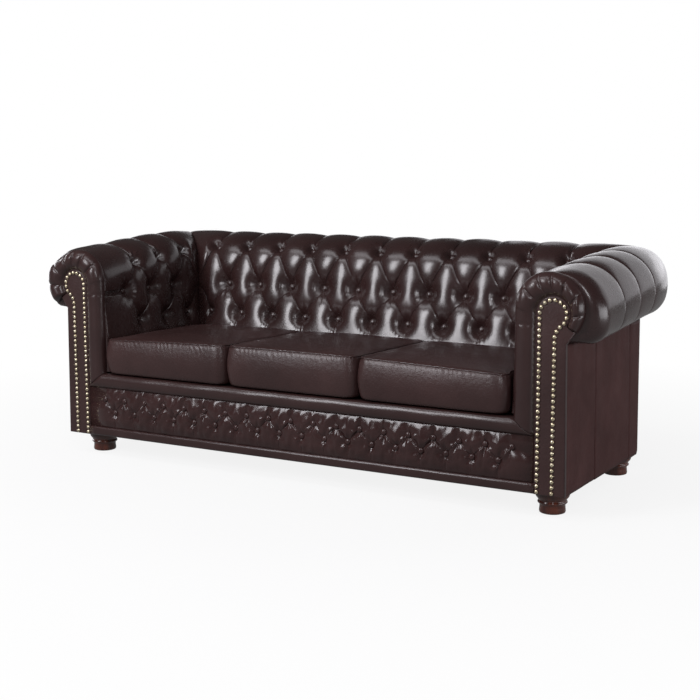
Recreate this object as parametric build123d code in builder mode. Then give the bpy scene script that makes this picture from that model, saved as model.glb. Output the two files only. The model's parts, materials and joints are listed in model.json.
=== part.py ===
"""Three-seater scroll-arm sofa with deep diamond buttoning, as separate frame, springing and cover pieces.

Millimetres, +Z up, the front faces -Y, the origin is on the floor under the middle of the sofa.
"""
import math
import os

from build123d import *

os.makedirs("parts", exist_ok=True)

# button grid of the back and arms, and the corner between them
button_pitch = 139.6
back_columns = 5
arm_columns = 5
arm_front_plain = 120.0
corner_reach = 200.0
corner_y = 84.0
corner_ease = 0.5
row_low_z = 465.0
row_mid_z = 570.0
row_top_turn = 41.0
button_half = 9.0
column_steps = (0.0, 0.25, 0.75)
corner_bends = (15.0, 32.0, 45.0)

# tufted pads
roll_radius = 115.0
roll_puff = 15.0
face_puff = 30.0
pleat_puff = 2.0
button_sink = 9.0
arm_axis_z = 590.0
back_axis_z = 624.0
pad_foot_z = 300.0
arm_seat_reach = 141.0
back_seat_reach = 188.0
mitre_seat_reach = 142.0
core_inner = 80.0
core_outer = 25.0
core_top_z = 545.0
under_roll_z = 515.0
under_roll_turn = 222.0
roll_start_turn = 80.0

# scroll at the front of the arm
facing_depth = 15.0
scroll_shift = 28.0
scroll_lift = 26.0
scroll_radius = 104.0
bulb_shift = 16.0
bulb_radius = 51.0
border_rise = 23.0
border_round = 9.0
scroll_end_angle = 39.0
shoulder_length = 60.0
fold_angles = (-8, 25, 58, 84, 110, 142)
fold_width = 2.4
fold_depth = 4.5

# outer covers
side_out = 32.5
rear_out = 29.0
side_flare = -6.0
rear_corner_radius = 75.0
cover_bottom_z = 73.0
cover_thickness = 4.0
side_seam_y = -150.0
corner_seam_y = 160.0

# front of the seat
seat_top_z = 294.0
border_low_z = 245.0
border_swell = 30.0
border_lap = 33.0
panel_low_z = 105.0
panel_edge = 9.0
panel_puff = 13.0
panel_valley = 12.0
panel_pitch = 85.0
panel_columns = 9
panel_upper_z = 204.0
panel_lower_z = 160.0
strip_rise = 18.0

# timber frame
frame_z = 78.0
rail_top_z = 262.0
front_rail_depth = 60.0
board = 30.0
side_rail_inset = 57.0
post_inset = 12.5
post_depth = 40.0
corner_post_size = 60.0
top_rail_inset = 18.0
top_rail_depth = 38.0
tuck_width = 80.0
tuck_inset = 13.0
back_tuck_depth = 66.0
block_length = 83.0
block_height = 50.0
stretcher_x = 250.0
stretcher_height = 62.0
back_post_width = 50.0
liner = 4.0
strap_count = 7
strap_width = 60.0
strap_pitch = 190.0
strap_thickness = 2.0

# springing
wire = 4.0
spring_count = 7
spring_pitch = 200.0
spring_wave = 42.0
spring_half_width = 24.0
spring_margin = 8.0
clip_width = 20.0
clip_depth = 12.0
deck_thickness = 18.0

# seat cushions
cushion_side_clear = 20.5
cushion_gap = 3.0
cushion_back_clear = 13.0
cushion_edge_z = 420.0
cushion_crown = 18.0
cushion_corner = 38.0
cushion_draw = 4.0
cover_leather = 12.0

# feet and small fittings
foot_inset_x = 74.0
foot_inset_front = 83.0
foot_inset_rear = 63.0
foot_radius = 52.0
foot_neck_radius = 44.5
foot_base_radius = 39.5
foot_sides = 24
bolt_radius = 4.0
bolt_play = 0.1
bolt_low_z = 38.0
bolt_high_z = 112.0
button_radius = 9.0
button_height = 15.0
button_dome = 3.0
rail_button_radius = 6.5
rail_button_height = 4.5
button_sides = 6
nail_radius = 5.6
nail_rise = 3.6
nail_pitch = 16.8
nail_inset = 10.0
nail_neck_shift = 5.0
nail_neck_drop = 70.0
nail_low_z = 82.0

# places that follow from the sizes above
corner_x = back_columns * button_pitch
roll_axis_x = corner_x + corner_reach
roll_axis_y = corner_y + corner_reach
cover_back_y = corner_y - arm_columns * button_pitch / 2 - arm_front_plain
face_y = cover_back_y - facing_depth
scroll_x = roll_axis_x - scroll_shift
scroll_z = arm_axis_z + scroll_lift
scroll_left = scroll_x - scroll_radius
bulb_x = scroll_x + bulb_shift
bulb_z = scroll_z - bulb_shift
bulb_left = bulb_x - bulb_radius
side_x = roll_axis_x + side_out
rear_y = roll_axis_y + rear_out
border_front_y = cover_back_y - border_swell
border_back_y = cover_back_y + border_lap
foot_x = side_x - foot_inset_x
foot_front_y = cover_back_y + foot_inset_front
foot_rear_y = rear_y - foot_inset_rear


def facet(*corners):
    """Flat face between corners."""
    return Face(Wire.make_polygon(corners))


def skin(rings):
    """Closed solid of flat facets through rings of points, each strip split along its shorter diagonal."""
    faces = [facet(*rings[0]), facet(*rings[-1])]
    for near, far in zip(rings, rings[1:]):
        for index in range(len(near)):
            a, b = near[index - 1], near[index]
            c, d = far[index], far[index - 1]
            if math.dist(a, c) < math.dist(b, d):
                faces += [facet(a, b, c), facet(a, c, d)]
            else:
                faces += [facet(a, b, d), facet(b, c, d)]
    return Solid(Shell(faces))


def turned_ring(radius, height, sides):
    """Even ring of points round the Z axis."""
    turns = [2 * math.pi * side / sides for side in range(sides)]
    return [(radius * math.cos(turn), radius * math.sin(turn), height) for turn in turns]


def crown_share(part):
    """Rise of a pillow at a fraction of the way from its crease to its middle, round like a circle."""
    return math.sqrt(max(0.0, 1 - (1 - part) ** 2))


def blend(first, second, share):
    """Values a fraction of the way from one set to another."""
    return tuple(a + (b - a) * share for a, b in zip(first, second))


def valley_point(seat_reach, axis, along, lift):
    """Outward distance and height of a point on a pad, lifted off the valley line.

    Below the roll axis the valley line is the straight inside face. Above it runs round the roll.
    """
    axis_out, axis_z, radius = axis
    if along <= axis_z:
        rise = (along - pad_foot_z) / (axis_z - pad_foot_z)
        foot_out = axis_out - seat_reach
        return (foot_out + (axis_out - radius - foot_out) * rise - lift, along)
    turn = (along - axis_z) / radius
    reach = radius + lift
    return (axis_out - reach * math.cos(turn), axis_z + reach * math.sin(turn))


def corner_stretch(outward, bend):
    """Distance from the corner pivot, square on the inside of the corner and eased on the outside."""
    square = 1 / math.cos(bend) - 1
    span = (outward + core_inner) / (core_inner + roll_radius + roll_puff)
    share = 1 - corner_ease * min(1.0, max(0.0, span))
    return (corner_reach + outward) * (1 + share * square)


def tuft(share, axis_z):
    """Creases and puffs at a fraction of the way from a top-row column to a middle-row column."""
    top_row = axis_z + roll_radius * math.radians(row_top_turn)
    low = row_low_z + share * (row_mid_z - button_half - row_low_z)
    up = top_row + share * (row_mid_z + button_half - top_row)
    sink = button_sink * (1 - 4 * share * (1 - share))
    puff_low = max(pleat_puff, face_puff * crown_share(share))
    puff_mid = face_puff * crown_share(1 - share) if share < 1 else -sink
    puff_front = max(pleat_puff, 0.8 * face_puff * crown_share(share))
    puff_up = max(pleat_puff, roll_puff * crown_share(share))
    return low, up, puff_low, puff_mid, puff_front, puff_up, sink


def pad_ring(spot, heading, bend, seat_reach, axis, shape):
    """One closed cross-section of a tufted pad on an upright plane across its run."""
    low, up, puff_low, puff_mid, puff_front, puff_up, sink = shape
    axis_out, axis_z, radius = axis
    roll_start = axis_z + radius * math.radians(roll_start_turn)
    roll_end = axis_z + radius * math.radians(under_roll_turn)

    def stand(outward, height):
        reach = corner_stretch(outward, bend)
        return (spot[0] + reach * math.cos(heading), spot[1] + reach * math.sin(heading), height)

    ring = []
    runs = (
        (pad_foot_z, low, 0.0, -sink, puff_low, 4),
        (low, up, -sink, -sink, puff_mid, 4),
        (up, roll_start, -sink, puff_up, puff_front, 3),
        (roll_start, roll_end, puff_up, puff_up, puff_up, 5),
    )
    for start, end, lift_start, lift_end, puff, steps in runs:
        swell = puff - (lift_start + lift_end) / 2
        for step in range(steps):
            share = step / steps
            lift = lift_start + (lift_end - lift_start) * share + 4 * swell * share * (1 - share)
            ring.append(stand(*valley_point(seat_reach, axis, start + (end - start) * share, lift)))
    ring.append(stand(*valley_point(seat_reach, axis, roll_end, puff_up)))
    ring.append(stand(side_x + side_flare - roll_axis_x, under_roll_z))
    ring.append(stand(core_outer, under_roll_z))
    ring.append(stand(core_outer, core_top_z))
    ring.append(stand(-core_inner, core_top_z))
    ring.append(stand(-core_inner, pad_foot_z))
    return ring


def corner_rings(side, seat_reach, axis_z, up_share, from_back):
    """Sections of one pad across its half of a corner, where every pillow runs out into the mitre pleat."""
    low, up, _, _, _, _, _ = tuft(0.5, axis_z)
    mitre_up = max(tuft(up_share, axis_z)[1], row_mid_z + button_half)
    full = (low, up, 0.6 * face_puff, 0.7 * face_puff, 0.8 * face_puff, roll_puff)
    flat = (row_mid_z - button_half, mitre_up, pleat_puff, pleat_puff, pleat_puff, pleat_puff)
    rings = []
    for bend in corner_bends:
        run = bend / corner_bends[-1]
        creases = blend(full[:2], flat[:2], run)
        puffs = blend(flat[2:], full[2:], crown_share(1 - run))
        reach = seat_reach + (mitre_seat_reach - seat_reach) * run
        swing = math.radians(90 - bend if from_back else bend)
        heading = swing if side > 0 else math.pi - swing
        axis = (0.0, axis_z + (back_axis_z - axis_z) * run, roll_radius)
        spot = (side * corner_x, corner_y)
        rings.append(pad_ring(spot, heading, math.radians(bend), reach, axis, creases + puffs + (0.0,)))
    return rings


def column_shares(column):
    """Places after a button column, in half pitches, and how near each is to a middle-row column."""
    if column % 2 == 0:
        return [(step, step) for step in column_steps]
    return [(step, 1 - step) for step in column_steps]


def arm_axis(y):
    """Roll centre of the arm at a distance along it: the roll climbs gently towards the back."""
    climb = (y - cover_back_y) / (corner_y - cover_back_y)
    return (0.0, arm_axis_z + (back_axis_z - arm_axis_z) * climb, roll_radius)


# tufted back pad with its roll, from the left mitre to the right mitre
back_axis = (0.0, back_axis_z, roll_radius)
last_column = 2 * back_columns
back_rings = corner_rings(-1, back_seat_reach, back_axis_z, 0.0, True)[::-1]
for column in range(-last_column, last_column + 1):
    shares = column_shares(column) if column < last_column else [(0.0, 0.0)]
    for step, share in shares:
        place = column + step
        shape = tuft(share, back_axis_z)
        if abs(place) > last_column - 1:
            plain_up = tuft(0.5, back_axis_z)[1]
            shape = (shape[0], plain_up) + shape[2:4] + (0.7 * face_puff, roll_puff, 0.0)
        spot = (place * button_pitch / 2, corner_y)
        back_rings.append(pad_ring(spot, math.pi / 2, 0.0, back_seat_reach, back_axis, shape))
back_rings += corner_rings(1, back_seat_reach, back_axis_z, 0.0, True)
with BuildPart() as back_pad:
    add(skin(back_rings))

# tufted arm pads with their rolls, drawn in at the front to the scroll border
scroll_axis = (-scroll_shift, scroll_z, scroll_radius - pleat_puff)
plain_creases = (row_mid_z - button_half, row_mid_z + button_half)
plain_shape = plain_creases + (0.6 * face_puff, 1.0, 0.7 * face_puff, roll_puff, button_sink / 2)
scroll_shape = plain_creases + (pleat_puff, 1.0, pleat_puff, pleat_puff, 0.0)
arm_rings = []
for run in (0.0, 0.35, 1.0):
    y = cover_back_y + run * shoulder_length
    share = crown_share(run)
    axis = blend(scroll_axis, arm_axis(y), share)
    reach = scroll_radius + (arm_seat_reach - scroll_radius) * share
    shape = blend(scroll_shape, plain_shape, share)
    arm_rings.append(pad_ring((corner_x, y), 0.0, 0.0, reach, axis, shape))
for column in range(-arm_columns, 1):
    shares = column_shares(column) if column < 0 else [(0.0, 0.0)]
    for step, share in shares:
        y = corner_y + (column + step) * button_pitch / 2
        axis = arm_axis(y)
        shape = tuft(share, axis[1])
        arm_rings.append(pad_ring((corner_x, y), 0.0, 0.0, arm_seat_reach, axis, shape))
arm_rings += corner_rings(1, arm_seat_reach, back_axis_z, 1.0, False)
with BuildPart() as arm_pad_right:
    add(skin(arm_rings))
with BuildPart() as arm_pad_left:
    mirror(arm_pad_right.part, about=Plane.YZ)

# covered button, drawn in to a point where its twine pulls it down, and the small one of the front panel
with BuildPart() as button:
    levels = ((0.9, 0.3), (button_height, button_radius), (button_height + button_dome, 0.6 * button_radius))
    add(skin([turned_ring(radius, height, button_sides) for height, radius in levels]))
with BuildPart() as rail_button:
    levels = ((0.5, 0.5), (rail_button_height, rail_button_radius))
    add(skin([turned_ring(radius, height, button_sides) for height, radius in levels]))


def button_place(spot, heading, bend, seat_reach, axis, along, sink):
    """Where a button sits on a pad, facing out of the pad."""
    outward, height = valley_point(seat_reach, axis, along, -sink)
    raised, raised_height = valley_point(seat_reach, axis, along, 1 - sink)
    reach = corner_stretch(outward, bend)
    flat = (math.cos(heading), math.sin(heading))
    facing = ((raised - outward) * flat[0], (raised - outward) * flat[1], raised_height - height)
    origin = (spot[0] + reach * flat[0], spot[1] + reach * flat[1], height)
    return Plane(origin=origin, z_dir=facing).location


top_row = back_axis_z + roll_radius * math.radians(row_top_turn)
back_places = []
for column in range(-last_column, last_column + 1):
    spot = (column * button_pitch / 2, corner_y)
    at_end = abs(column) == last_column
    rows = [row_mid_z] if column % 2 else [row_low_z]
    if column % 2 == 0 and not at_end:
        rows.append(top_row)
    for along in rows:
        sink = 0.0 if at_end else button_sink
        back_places.append(button_place(spot, math.pi / 2, 0.0, back_seat_reach, back_axis, along, sink))
with BuildPart() as back_buttons:
    with Locations(*back_places):
        add(button.part)

arm_places = []
for column in range(-arm_columns, 1):
    y = corner_y + column * button_pitch / 2
    axis = arm_axis(y)
    rows = [row_mid_z] if column % 2 else [row_low_z, axis[1] + roll_radius * math.radians(row_top_turn)]
    for along in rows:
        arm_places.append(button_place((corner_x, y), 0.0, 0.0, arm_seat_reach, axis, along, button_sink))
with BuildPart() as arm_buttons_right:
    with Locations(*arm_places):
        add(button.part)
with BuildPart() as arm_buttons_left:
    mirror(arm_buttons_right.part, about=Plane.YZ)

# front plane of the covers, seen from the front
front_plane = Plane(origin=(0, cover_back_y, 0), x_dir=(1, 0, 0), z_dir=(0, -1, 0))


def round_the_scroll(degrees):
    """Point on the outer edge of the scroll."""
    angle = math.radians(degrees)
    return (scroll_x + scroll_radius * math.cos(angle), scroll_z + scroll_radius * math.sin(angle))


def round_the_bulb(degrees, radius):
    """Point round the middle of the facing's round top."""
    angle = math.radians(degrees)
    return (bulb_x + radius * math.cos(angle), bulb_z + radius * math.sin(angle))


side_top = (side_x + side_flare, under_roll_z)

# flat leather facing on the front of the arm
with BuildPart() as arm_facing_right:
    with BuildSketch(front_plane):
        with BuildLine():
            Polyline(
                round_the_bulb(180, bulb_radius),
                (bulb_left, cover_bottom_z),
                (side_x, cover_bottom_z),
                side_top,
                round_the_scroll(-scroll_end_angle),
                round_the_bulb(-scroll_end_angle, bulb_radius),
            )
            ThreePointArc(
                round_the_bulb(-scroll_end_angle, bulb_radius),
                round_the_bulb(25, bulb_radius),
                round_the_bulb(90, bulb_radius),
            )
            ThreePointArc(
                round_the_bulb(90, bulb_radius),
                round_the_bulb(135, bulb_radius),
                round_the_bulb(180, bulb_radius),
            )
        make_face()
    extrude(amount=facing_depth)
with BuildPart() as arm_facing_left:
    mirror(arm_facing_right.part, about=Plane.YZ)

# padded border round the scroll, with a narrow pleat at each fold
with BuildPart() as arm_border_right:
    with BuildSketch(front_plane):
        with BuildLine():
            Polyline(
                round_the_scroll(180),
                (scroll_left, seat_top_z),
                (bulb_left, border_low_z),
                round_the_bulb(180, bulb_radius),
            )
            ThreePointArc(
                round_the_bulb(180, bulb_radius),
                round_the_bulb(135, bulb_radius),
                round_the_bulb(90, bulb_radius),
            )
            ThreePointArc(
                round_the_bulb(90, bulb_radius),
                round_the_bulb(25, bulb_radius),
                round_the_bulb(-scroll_end_angle, bulb_radius),
            )
            Line(round_the_bulb(-scroll_end_angle, bulb_radius), round_the_scroll(-scroll_end_angle))
            ThreePointArc(round_the_scroll(-scroll_end_angle), round_the_scroll(25), round_the_scroll(90))
            ThreePointArc(round_the_scroll(90), round_the_scroll(135), round_the_scroll(180))
        make_face()
    extrude(amount=border_rise)
    chamfer(arm_border_right.faces().sort_by(Axis.Y)[0].edges(), length=border_round)
    fold_y = cover_back_y - border_rise
    fold_reach = (scroll_radius + bulb_radius) / 2
    fold_length = scroll_radius - bulb_shift
    for degrees in fold_angles:
        angle = math.radians(degrees)
        fold_x = (scroll_x + bulb_x) / 2 + fold_reach * math.cos(angle)
        fold_z = (scroll_z + bulb_z) / 2 + fold_reach * math.sin(angle)
        with Locations(Location((fold_x, fold_y, fold_z), (0, -degrees, 0))):
            Box(fold_length, 2 * fold_depth, fold_width, mode=Mode.SUBTRACT)
    with Locations(((scroll_left + bulb_left) / 2, fold_y, row_mid_z)):
        Box(bulb_left - scroll_left + fold_width, 2 * fold_depth, fold_width, mode=Mode.SUBTRACT)
with BuildPart() as arm_border_left:
    mirror(arm_border_right.part, about=Plane.YZ)

# padded border along the front of the seat, mitred into the arm borders
with BuildPart() as front_border:
    with BuildSketch(Plane.YZ):
        with BuildLine():
            edge_y = border_front_y + 0.4 * border_swell
            Polyline(
                (edge_y, seat_top_z),
                (border_back_y, seat_top_z),
                (border_back_y, rail_top_z),
                (cover_back_y, rail_top_z),
                (cover_back_y, border_low_z),
                (edge_y, border_low_z),
            )
            middle = (border_front_y, (seat_top_z + border_low_z) / 2)
            ThreePointArc((edge_y, border_low_z), middle, (edge_y, seat_top_z))
        make_face()
    extrude(amount=2 * side_x, both=True)
    with BuildSketch(Plane.XZ):
        Polygon(
            (-bulb_left, border_low_z),
            (bulb_left, border_low_z),
            (scroll_left, seat_top_z),
            (-scroll_left, seat_top_z),
            align=None,
        )
    extrude(amount=2 * side_x, both=True, mode=Mode.INTERSECT)


def panel_ring(x, crease_z, puff_low, puff_up):
    """One cross-section of the tufted panel under the seat."""
    edge_y = cover_back_y - panel_edge
    valley_y = cover_back_y - panel_valley
    ring = []
    runs = (
        (panel_low_z, crease_z, edge_y, valley_y, puff_low),
        (crease_z, border_low_z, valley_y, edge_y, puff_up),
    )
    for start, end, start_y, end_y, puff in runs:
        for share in (0.0, 1 / 3, 2 / 3):
            y = start_y + (end_y - start_y) * share - 4 * puff * share * (1 - share)
            ring.append((x, y, start + (end - start) * share))
    ring.append((x, edge_y, border_low_z))
    ring.append((x, cover_back_y, border_low_z))
    ring.append((x, cover_back_y, panel_low_z))
    return ring


# tufted panel under the seat, two rows of small buttons with a zigzag pleat between them
middle_z = (panel_upper_z + panel_lower_z) / 2
last_panel = 2 * panel_columns
panel_rings = [panel_ring(-bulb_left, middle_z, pleat_puff, pleat_puff)]
panel_places = []
for column in range(-last_panel, last_panel + 1):
    upper = column % 2 == 0
    crease_z = panel_upper_z if upper else panel_lower_z
    puffs = (panel_puff, 1.0) if upper else (1.0, panel_puff)
    x = column * panel_pitch / 2
    panel_rings.append(panel_ring(x, crease_z, *puffs))
    panel_places.append(Plane(origin=(x, cover_back_y - panel_valley, crease_z), z_dir=(0, -1, 0)).location)
    if column < last_panel:
        between = panel_puff * crown_share(0.5)
        panel_rings.append(panel_ring(x + panel_pitch / 4, middle_z, between, between))
panel_rings.append(panel_ring(bulb_left, middle_z, pleat_puff, pleat_puff))
with BuildPart() as front_panel:
    add(skin(panel_rings))
with BuildPart() as front_buttons:
    with Locations(*panel_places):
        add(rail_button.part)

# plain strip under the tufted panel
with BuildPart() as base_strip:
    with Locations((0, cover_back_y - strip_rise / 2, (cover_bottom_z + panel_low_z) / 2)):
        Box(2 * bulb_left, strip_rise, panel_low_z - cover_bottom_z)
    chamfer(base_strip.faces().sort_by(Axis.Y)[0].edges().filter_by(Axis.X), length=cover_thickness)

# row of nail heads up the facing, round the bulb and down again
nail_face = Plane(origin=(0, face_y, 0), x_dir=(1, 0, 0), z_dir=(0, -1, 0))
nail_bulb = bulb_radius - nail_inset
nail_inner_x = bulb_x - nail_bulb
nail_outer_x = bulb_x + nail_neck_shift
with BuildLine(nail_face) as nail_path:
    Line((nail_inner_x, nail_low_z), (nail_inner_x, bulb_z))
    ThreePointArc((nail_inner_x, bulb_z), round_the_bulb(90, nail_bulb), round_the_bulb(0, nail_bulb))
    ThreePointArc(
        round_the_bulb(0, nail_bulb),
        round_the_bulb(-scroll_end_angle / 2, nail_bulb),
        round_the_bulb(-scroll_end_angle, nail_bulb),
    )
    swell = round_the_bulb(-scroll_end_angle, nail_bulb)
    neck = (nail_outer_x, bulb_z - nail_neck_drop)
    hollow = ((swell[0] + neck[0]) / 2 - cover_thickness, (swell[1] + neck[1]) / 2)
    ThreePointArc(swell, hollow, neck)
    Line(neck, (nail_outer_x, nail_low_z))
nail_wire = nail_path.wire()
nail_count = round(nail_wire.length / nail_pitch)
nail_places = [
    Plane(origin=nail_wire.position_at(index / nail_count), x_dir=(1, 0, 0), z_dir=(0, -1, 0)).location
    for index in range(nail_count + 1)
]
with BuildPart() as nail:
    with BuildSketch():
        RegularPolygon(nail_radius, 6)
    loft([nail.pending_faces[0], Vertex(0, 0, nail_rise)])
    nail.pending_faces.clear()
with BuildPart() as nails_right:
    with Locations(*nail_places):
        add(nail.part)
with BuildPart() as nails_left:
    mirror(nails_right.part, about=Plane.YZ)


def side_cover(front_y, back_y):
    """Low and high outlines of a flat outer cover that leans in a little towards the roll."""
    outlines = []
    for height, flare in ((cover_bottom_z, 0.0), (under_roll_z, side_flare)):
        with BuildSketch(Plane.XY.offset(height)) as outline:
            with Locations((side_x + flare - cover_thickness / 2, (front_y + back_y) / 2)):
                Rectangle(cover_thickness, back_y - front_y)
        outlines.append(outline.sketch.faces()[0])
    return outlines


# outer side covers, joined by a flat seam
with BuildPart() as side_cover_front_right:
    loft(side_cover(cover_back_y, side_seam_y), ruled=True)
with BuildPart() as side_cover_front_left:
    mirror(side_cover_front_right.part, about=Plane.YZ)
with BuildPart() as side_cover_rear_right:
    loft(side_cover(side_seam_y, corner_seam_y), ruled=True)
with BuildPart() as side_cover_rear_left:
    mirror(side_cover_rear_right.part, about=Plane.YZ)

# outer back cover, carried round both rear corners to the side seams
with BuildPart() as outer_back:
    for height, flare in ((cover_bottom_z, 0.0), (under_roll_z, side_flare)):
        with BuildSketch(Plane.XY.offset(height)):
            with BuildLine():
                for inset in (0.0, cover_thickness):
                    x = side_x + flare - inset
                    y = rear_y + flare - inset
                    turn_x = side_x - rear_corner_radius
                    turn_y = rear_y - rear_corner_radius
                    bow_x = turn_x + (x - turn_x) * math.cos(math.pi / 4)
                    bow_y = turn_y + (y - turn_y) * math.sin(math.pi / 4)
                    Line((-x, corner_seam_y), (-x, turn_y))
                    ThreePointArc((-x, turn_y), (-bow_x, bow_y), (-turn_x, y))
                    Line((-turn_x, y), (turn_x, y))
                    ThreePointArc((turn_x, y), (bow_x, bow_y), (x, turn_y))
                    Line((x, turn_y), (x, corner_seam_y))
                outer_x = side_x + flare
                Line((outer_x - cover_thickness, corner_seam_y), (outer_x, corner_seam_y))
                Line((cover_thickness - outer_x, corner_seam_y), (-outer_x, corner_seam_y))
            make_face()
    loft(ruled=True)


def fill(low, high):
    """Square timber or sheet between two opposite corners."""
    middle = tuple((a + b) / 2 for a, b in zip(low, high))
    size = tuple(b - a for a, b in zip(low, high))
    with Locations(middle):
        Box(*size)


def bore(x, y):
    """Hole for a foot bolt in the timber above the foot."""
    with Locations((x, y, (frame_z + bolt_high_z) / 2)):
        Cylinder(bolt_radius + bolt_play, bolt_high_z - frame_z, mode=Mode.SUBTRACT)


post_inner_x = roll_axis_x - core_inner
post_outer_x = side_x - post_inset
post_back_y = cover_back_y + post_depth
front_rail_back_y = cover_back_y + front_rail_depth
liner_outer_x = post_inner_x + liner
back_liner_y = roll_axis_y - core_inner
corner_post_x = liner_outer_x
corner_post_y = back_liner_y + board - top_rail_inset
side_rail_x = side_x - side_rail_inset
top_rail_outer_x = side_x - top_rail_inset
top_rail_z = core_top_z - top_rail_depth
rear_rail_back_y = rear_y - cover_thickness - post_inset
rear_rail_y = rear_rail_back_y - board
arm_tuck_x = roll_axis_x - arm_seat_reach + tuck_inset
back_tuck_y = corner_post_y - back_tuck_depth
deck_z = seat_top_z - deck_thickness

# seat frame
with BuildPart() as front_rail:
    fill((-post_inner_x, cover_back_y, frame_z), (post_inner_x, front_rail_back_y, rail_top_z))
with BuildPart() as rear_rail:
    fill((-corner_post_x, rear_rail_y, frame_z), (corner_post_x, rear_rail_back_y, rail_top_z))
with BuildPart() as side_rail_right:
    fill((side_rail_x, post_back_y, frame_z), (side_rail_x + board, corner_post_y, rail_top_z))
with BuildPart() as side_rail_left:
    mirror(side_rail_right.part, about=Plane.YZ)
with BuildPart() as seat_stretchers:
    for x in (-stretcher_x, stretcher_x):
        fill(
            (x - board / 2, front_rail_back_y, frame_z),
            (x + board / 2, rear_rail_y, frame_z + stretcher_height),
        )
with BuildPart() as corner_blocks:
    for front in (post_back_y, corner_post_y - block_length):
        fill((post_inner_x, front, frame_z), (side_rail_x, front + block_length, frame_z + block_height))
    bore(foot_x, foot_front_y)
    mirror(about=Plane.YZ)

# arm frames
with BuildPart() as arm_post_right:
    fill((post_inner_x, cover_back_y, frame_z), (post_outer_x, post_back_y, core_top_z))
with BuildPart() as arm_post_left:
    mirror(arm_post_right.part, about=Plane.YZ)
with BuildPart() as corner_post_right:
    fill(
        (corner_post_x, corner_post_y, frame_z),
        (corner_post_x + corner_post_size, corner_post_y + corner_post_size, core_top_z),
    )
    bore(foot_x, foot_rear_y)
with BuildPart() as corner_post_left:
    mirror(corner_post_right.part, about=Plane.YZ)
with BuildPart() as arm_top_rail_right:
    fill((liner_outer_x, post_back_y, top_rail_z), (top_rail_outer_x, corner_post_y, core_top_z))
with BuildPart() as arm_top_rail_left:
    mirror(arm_top_rail_right.part, about=Plane.YZ)
with BuildPart() as arm_tuck_rail_right:
    fill((arm_tuck_x, post_back_y, rail_top_z), (arm_tuck_x + tuck_width, back_tuck_y, pad_foot_z))
with BuildPart() as arm_tuck_rail_left:
    mirror(arm_tuck_rail_right.part, about=Plane.YZ)
with BuildPart() as arm_liner_right:
    fill((post_inner_x, post_back_y, pad_foot_z), (liner_outer_x, back_liner_y, core_top_z))
with BuildPart() as arm_liner_left:
    mirror(arm_liner_right.part, about=Plane.YZ)

# back frame
with BuildPart() as back_top_rail:
    fill(
        (-corner_post_x, back_liner_y + strap_thickness, top_rail_z),
        (corner_post_x, rear_rail_back_y, core_top_z),
    )
with BuildPart() as back_tuck_rail:
    fill((-side_rail_x, back_tuck_y, rail_top_z), (side_rail_x, corner_post_y, pad_foot_z))
with BuildPart() as back_posts:
    for x in (-3 * button_pitch, 0, 3 * button_pitch):
        fill(
            (x - back_post_width / 2, rear_rail_y, rail_top_z),
            (x + back_post_width / 2, rear_rail_back_y, top_rail_z),
        )
with BuildPart() as back_webbing:
    for place in range(strap_count):
        x = (place - (strap_count - 1) / 2) * strap_pitch
        fill(
            (x - strap_width / 2, back_liner_y, pad_foot_z),
            (x + strap_width / 2, back_liner_y + strap_thickness, core_top_z),
        )

# zigzag seat springs, held in clips on the front rail and the rear tuck rail
spring_front_y = border_back_y + clip_depth + spring_margin
spring_back_y = back_tuck_y - clip_depth - spring_margin
spring_bars = int((spring_back_y - spring_front_y) / spring_wave)
spring_places = [(place - (spring_count - 1) / 2) * spring_pitch for place in range(spring_count)]
with BuildPart() as seat_springs:
    with BuildSketch(Plane.XY.offset(deck_z - wire)):
        last_y = spring_front_y + spring_bars * spring_wave
        for x in spring_places:
            with Locations((x, (border_back_y + spring_front_y) / 2)):
                Rectangle(wire, spring_front_y - border_back_y)
            with Locations((x, (last_y + back_tuck_y) / 2)):
                Rectangle(wire, back_tuck_y - last_y)
            for bar in range(spring_bars + 1):
                y = spring_front_y + bar * spring_wave
                with Locations((x, y)):
                    Rectangle(2 * spring_half_width + wire, wire)
                if bar < spring_bars:
                    edge = spring_half_width if bar % 2 else -spring_half_width
                    with Locations((x + edge, y + spring_wave / 2)):
                        Rectangle(wire, spring_wave + wire)
    extrude(amount=wire)
with BuildPart() as spring_clips:
    clip_middle = (rail_top_z + deck_z) / 2
    clip_places = []
    for x in spring_places:
        for y in (border_back_y + clip_depth / 2, back_tuck_y - clip_depth / 2):
            clip_places.append((x, y, clip_middle))
    with Locations(*clip_places):
        Box(clip_width, clip_depth, deck_z - rail_top_z)
    add(seat_springs.part, mode=Mode.SUBTRACT)
with BuildPart() as seat_deck:
    fill((-arm_tuck_x, border_back_y, deck_z), (arm_tuck_x, back_tuck_y, seat_top_z))
with BuildPart() as dust_cover:
    fill(
        (-side_rail_x - board, cover_back_y, frame_z - strap_thickness),
        (side_rail_x + board, rear_rail_back_y, frame_z),
    )
    for x in (-foot_x, foot_x):
        for y in (foot_front_y, foot_rear_y):
            with Locations((x, y, frame_z)):
                opening = 2 * foot_radius + 4 * cover_thickness
                Box(opening, opening, 4 * strap_thickness, mode=Mode.SUBTRACT)

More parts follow.
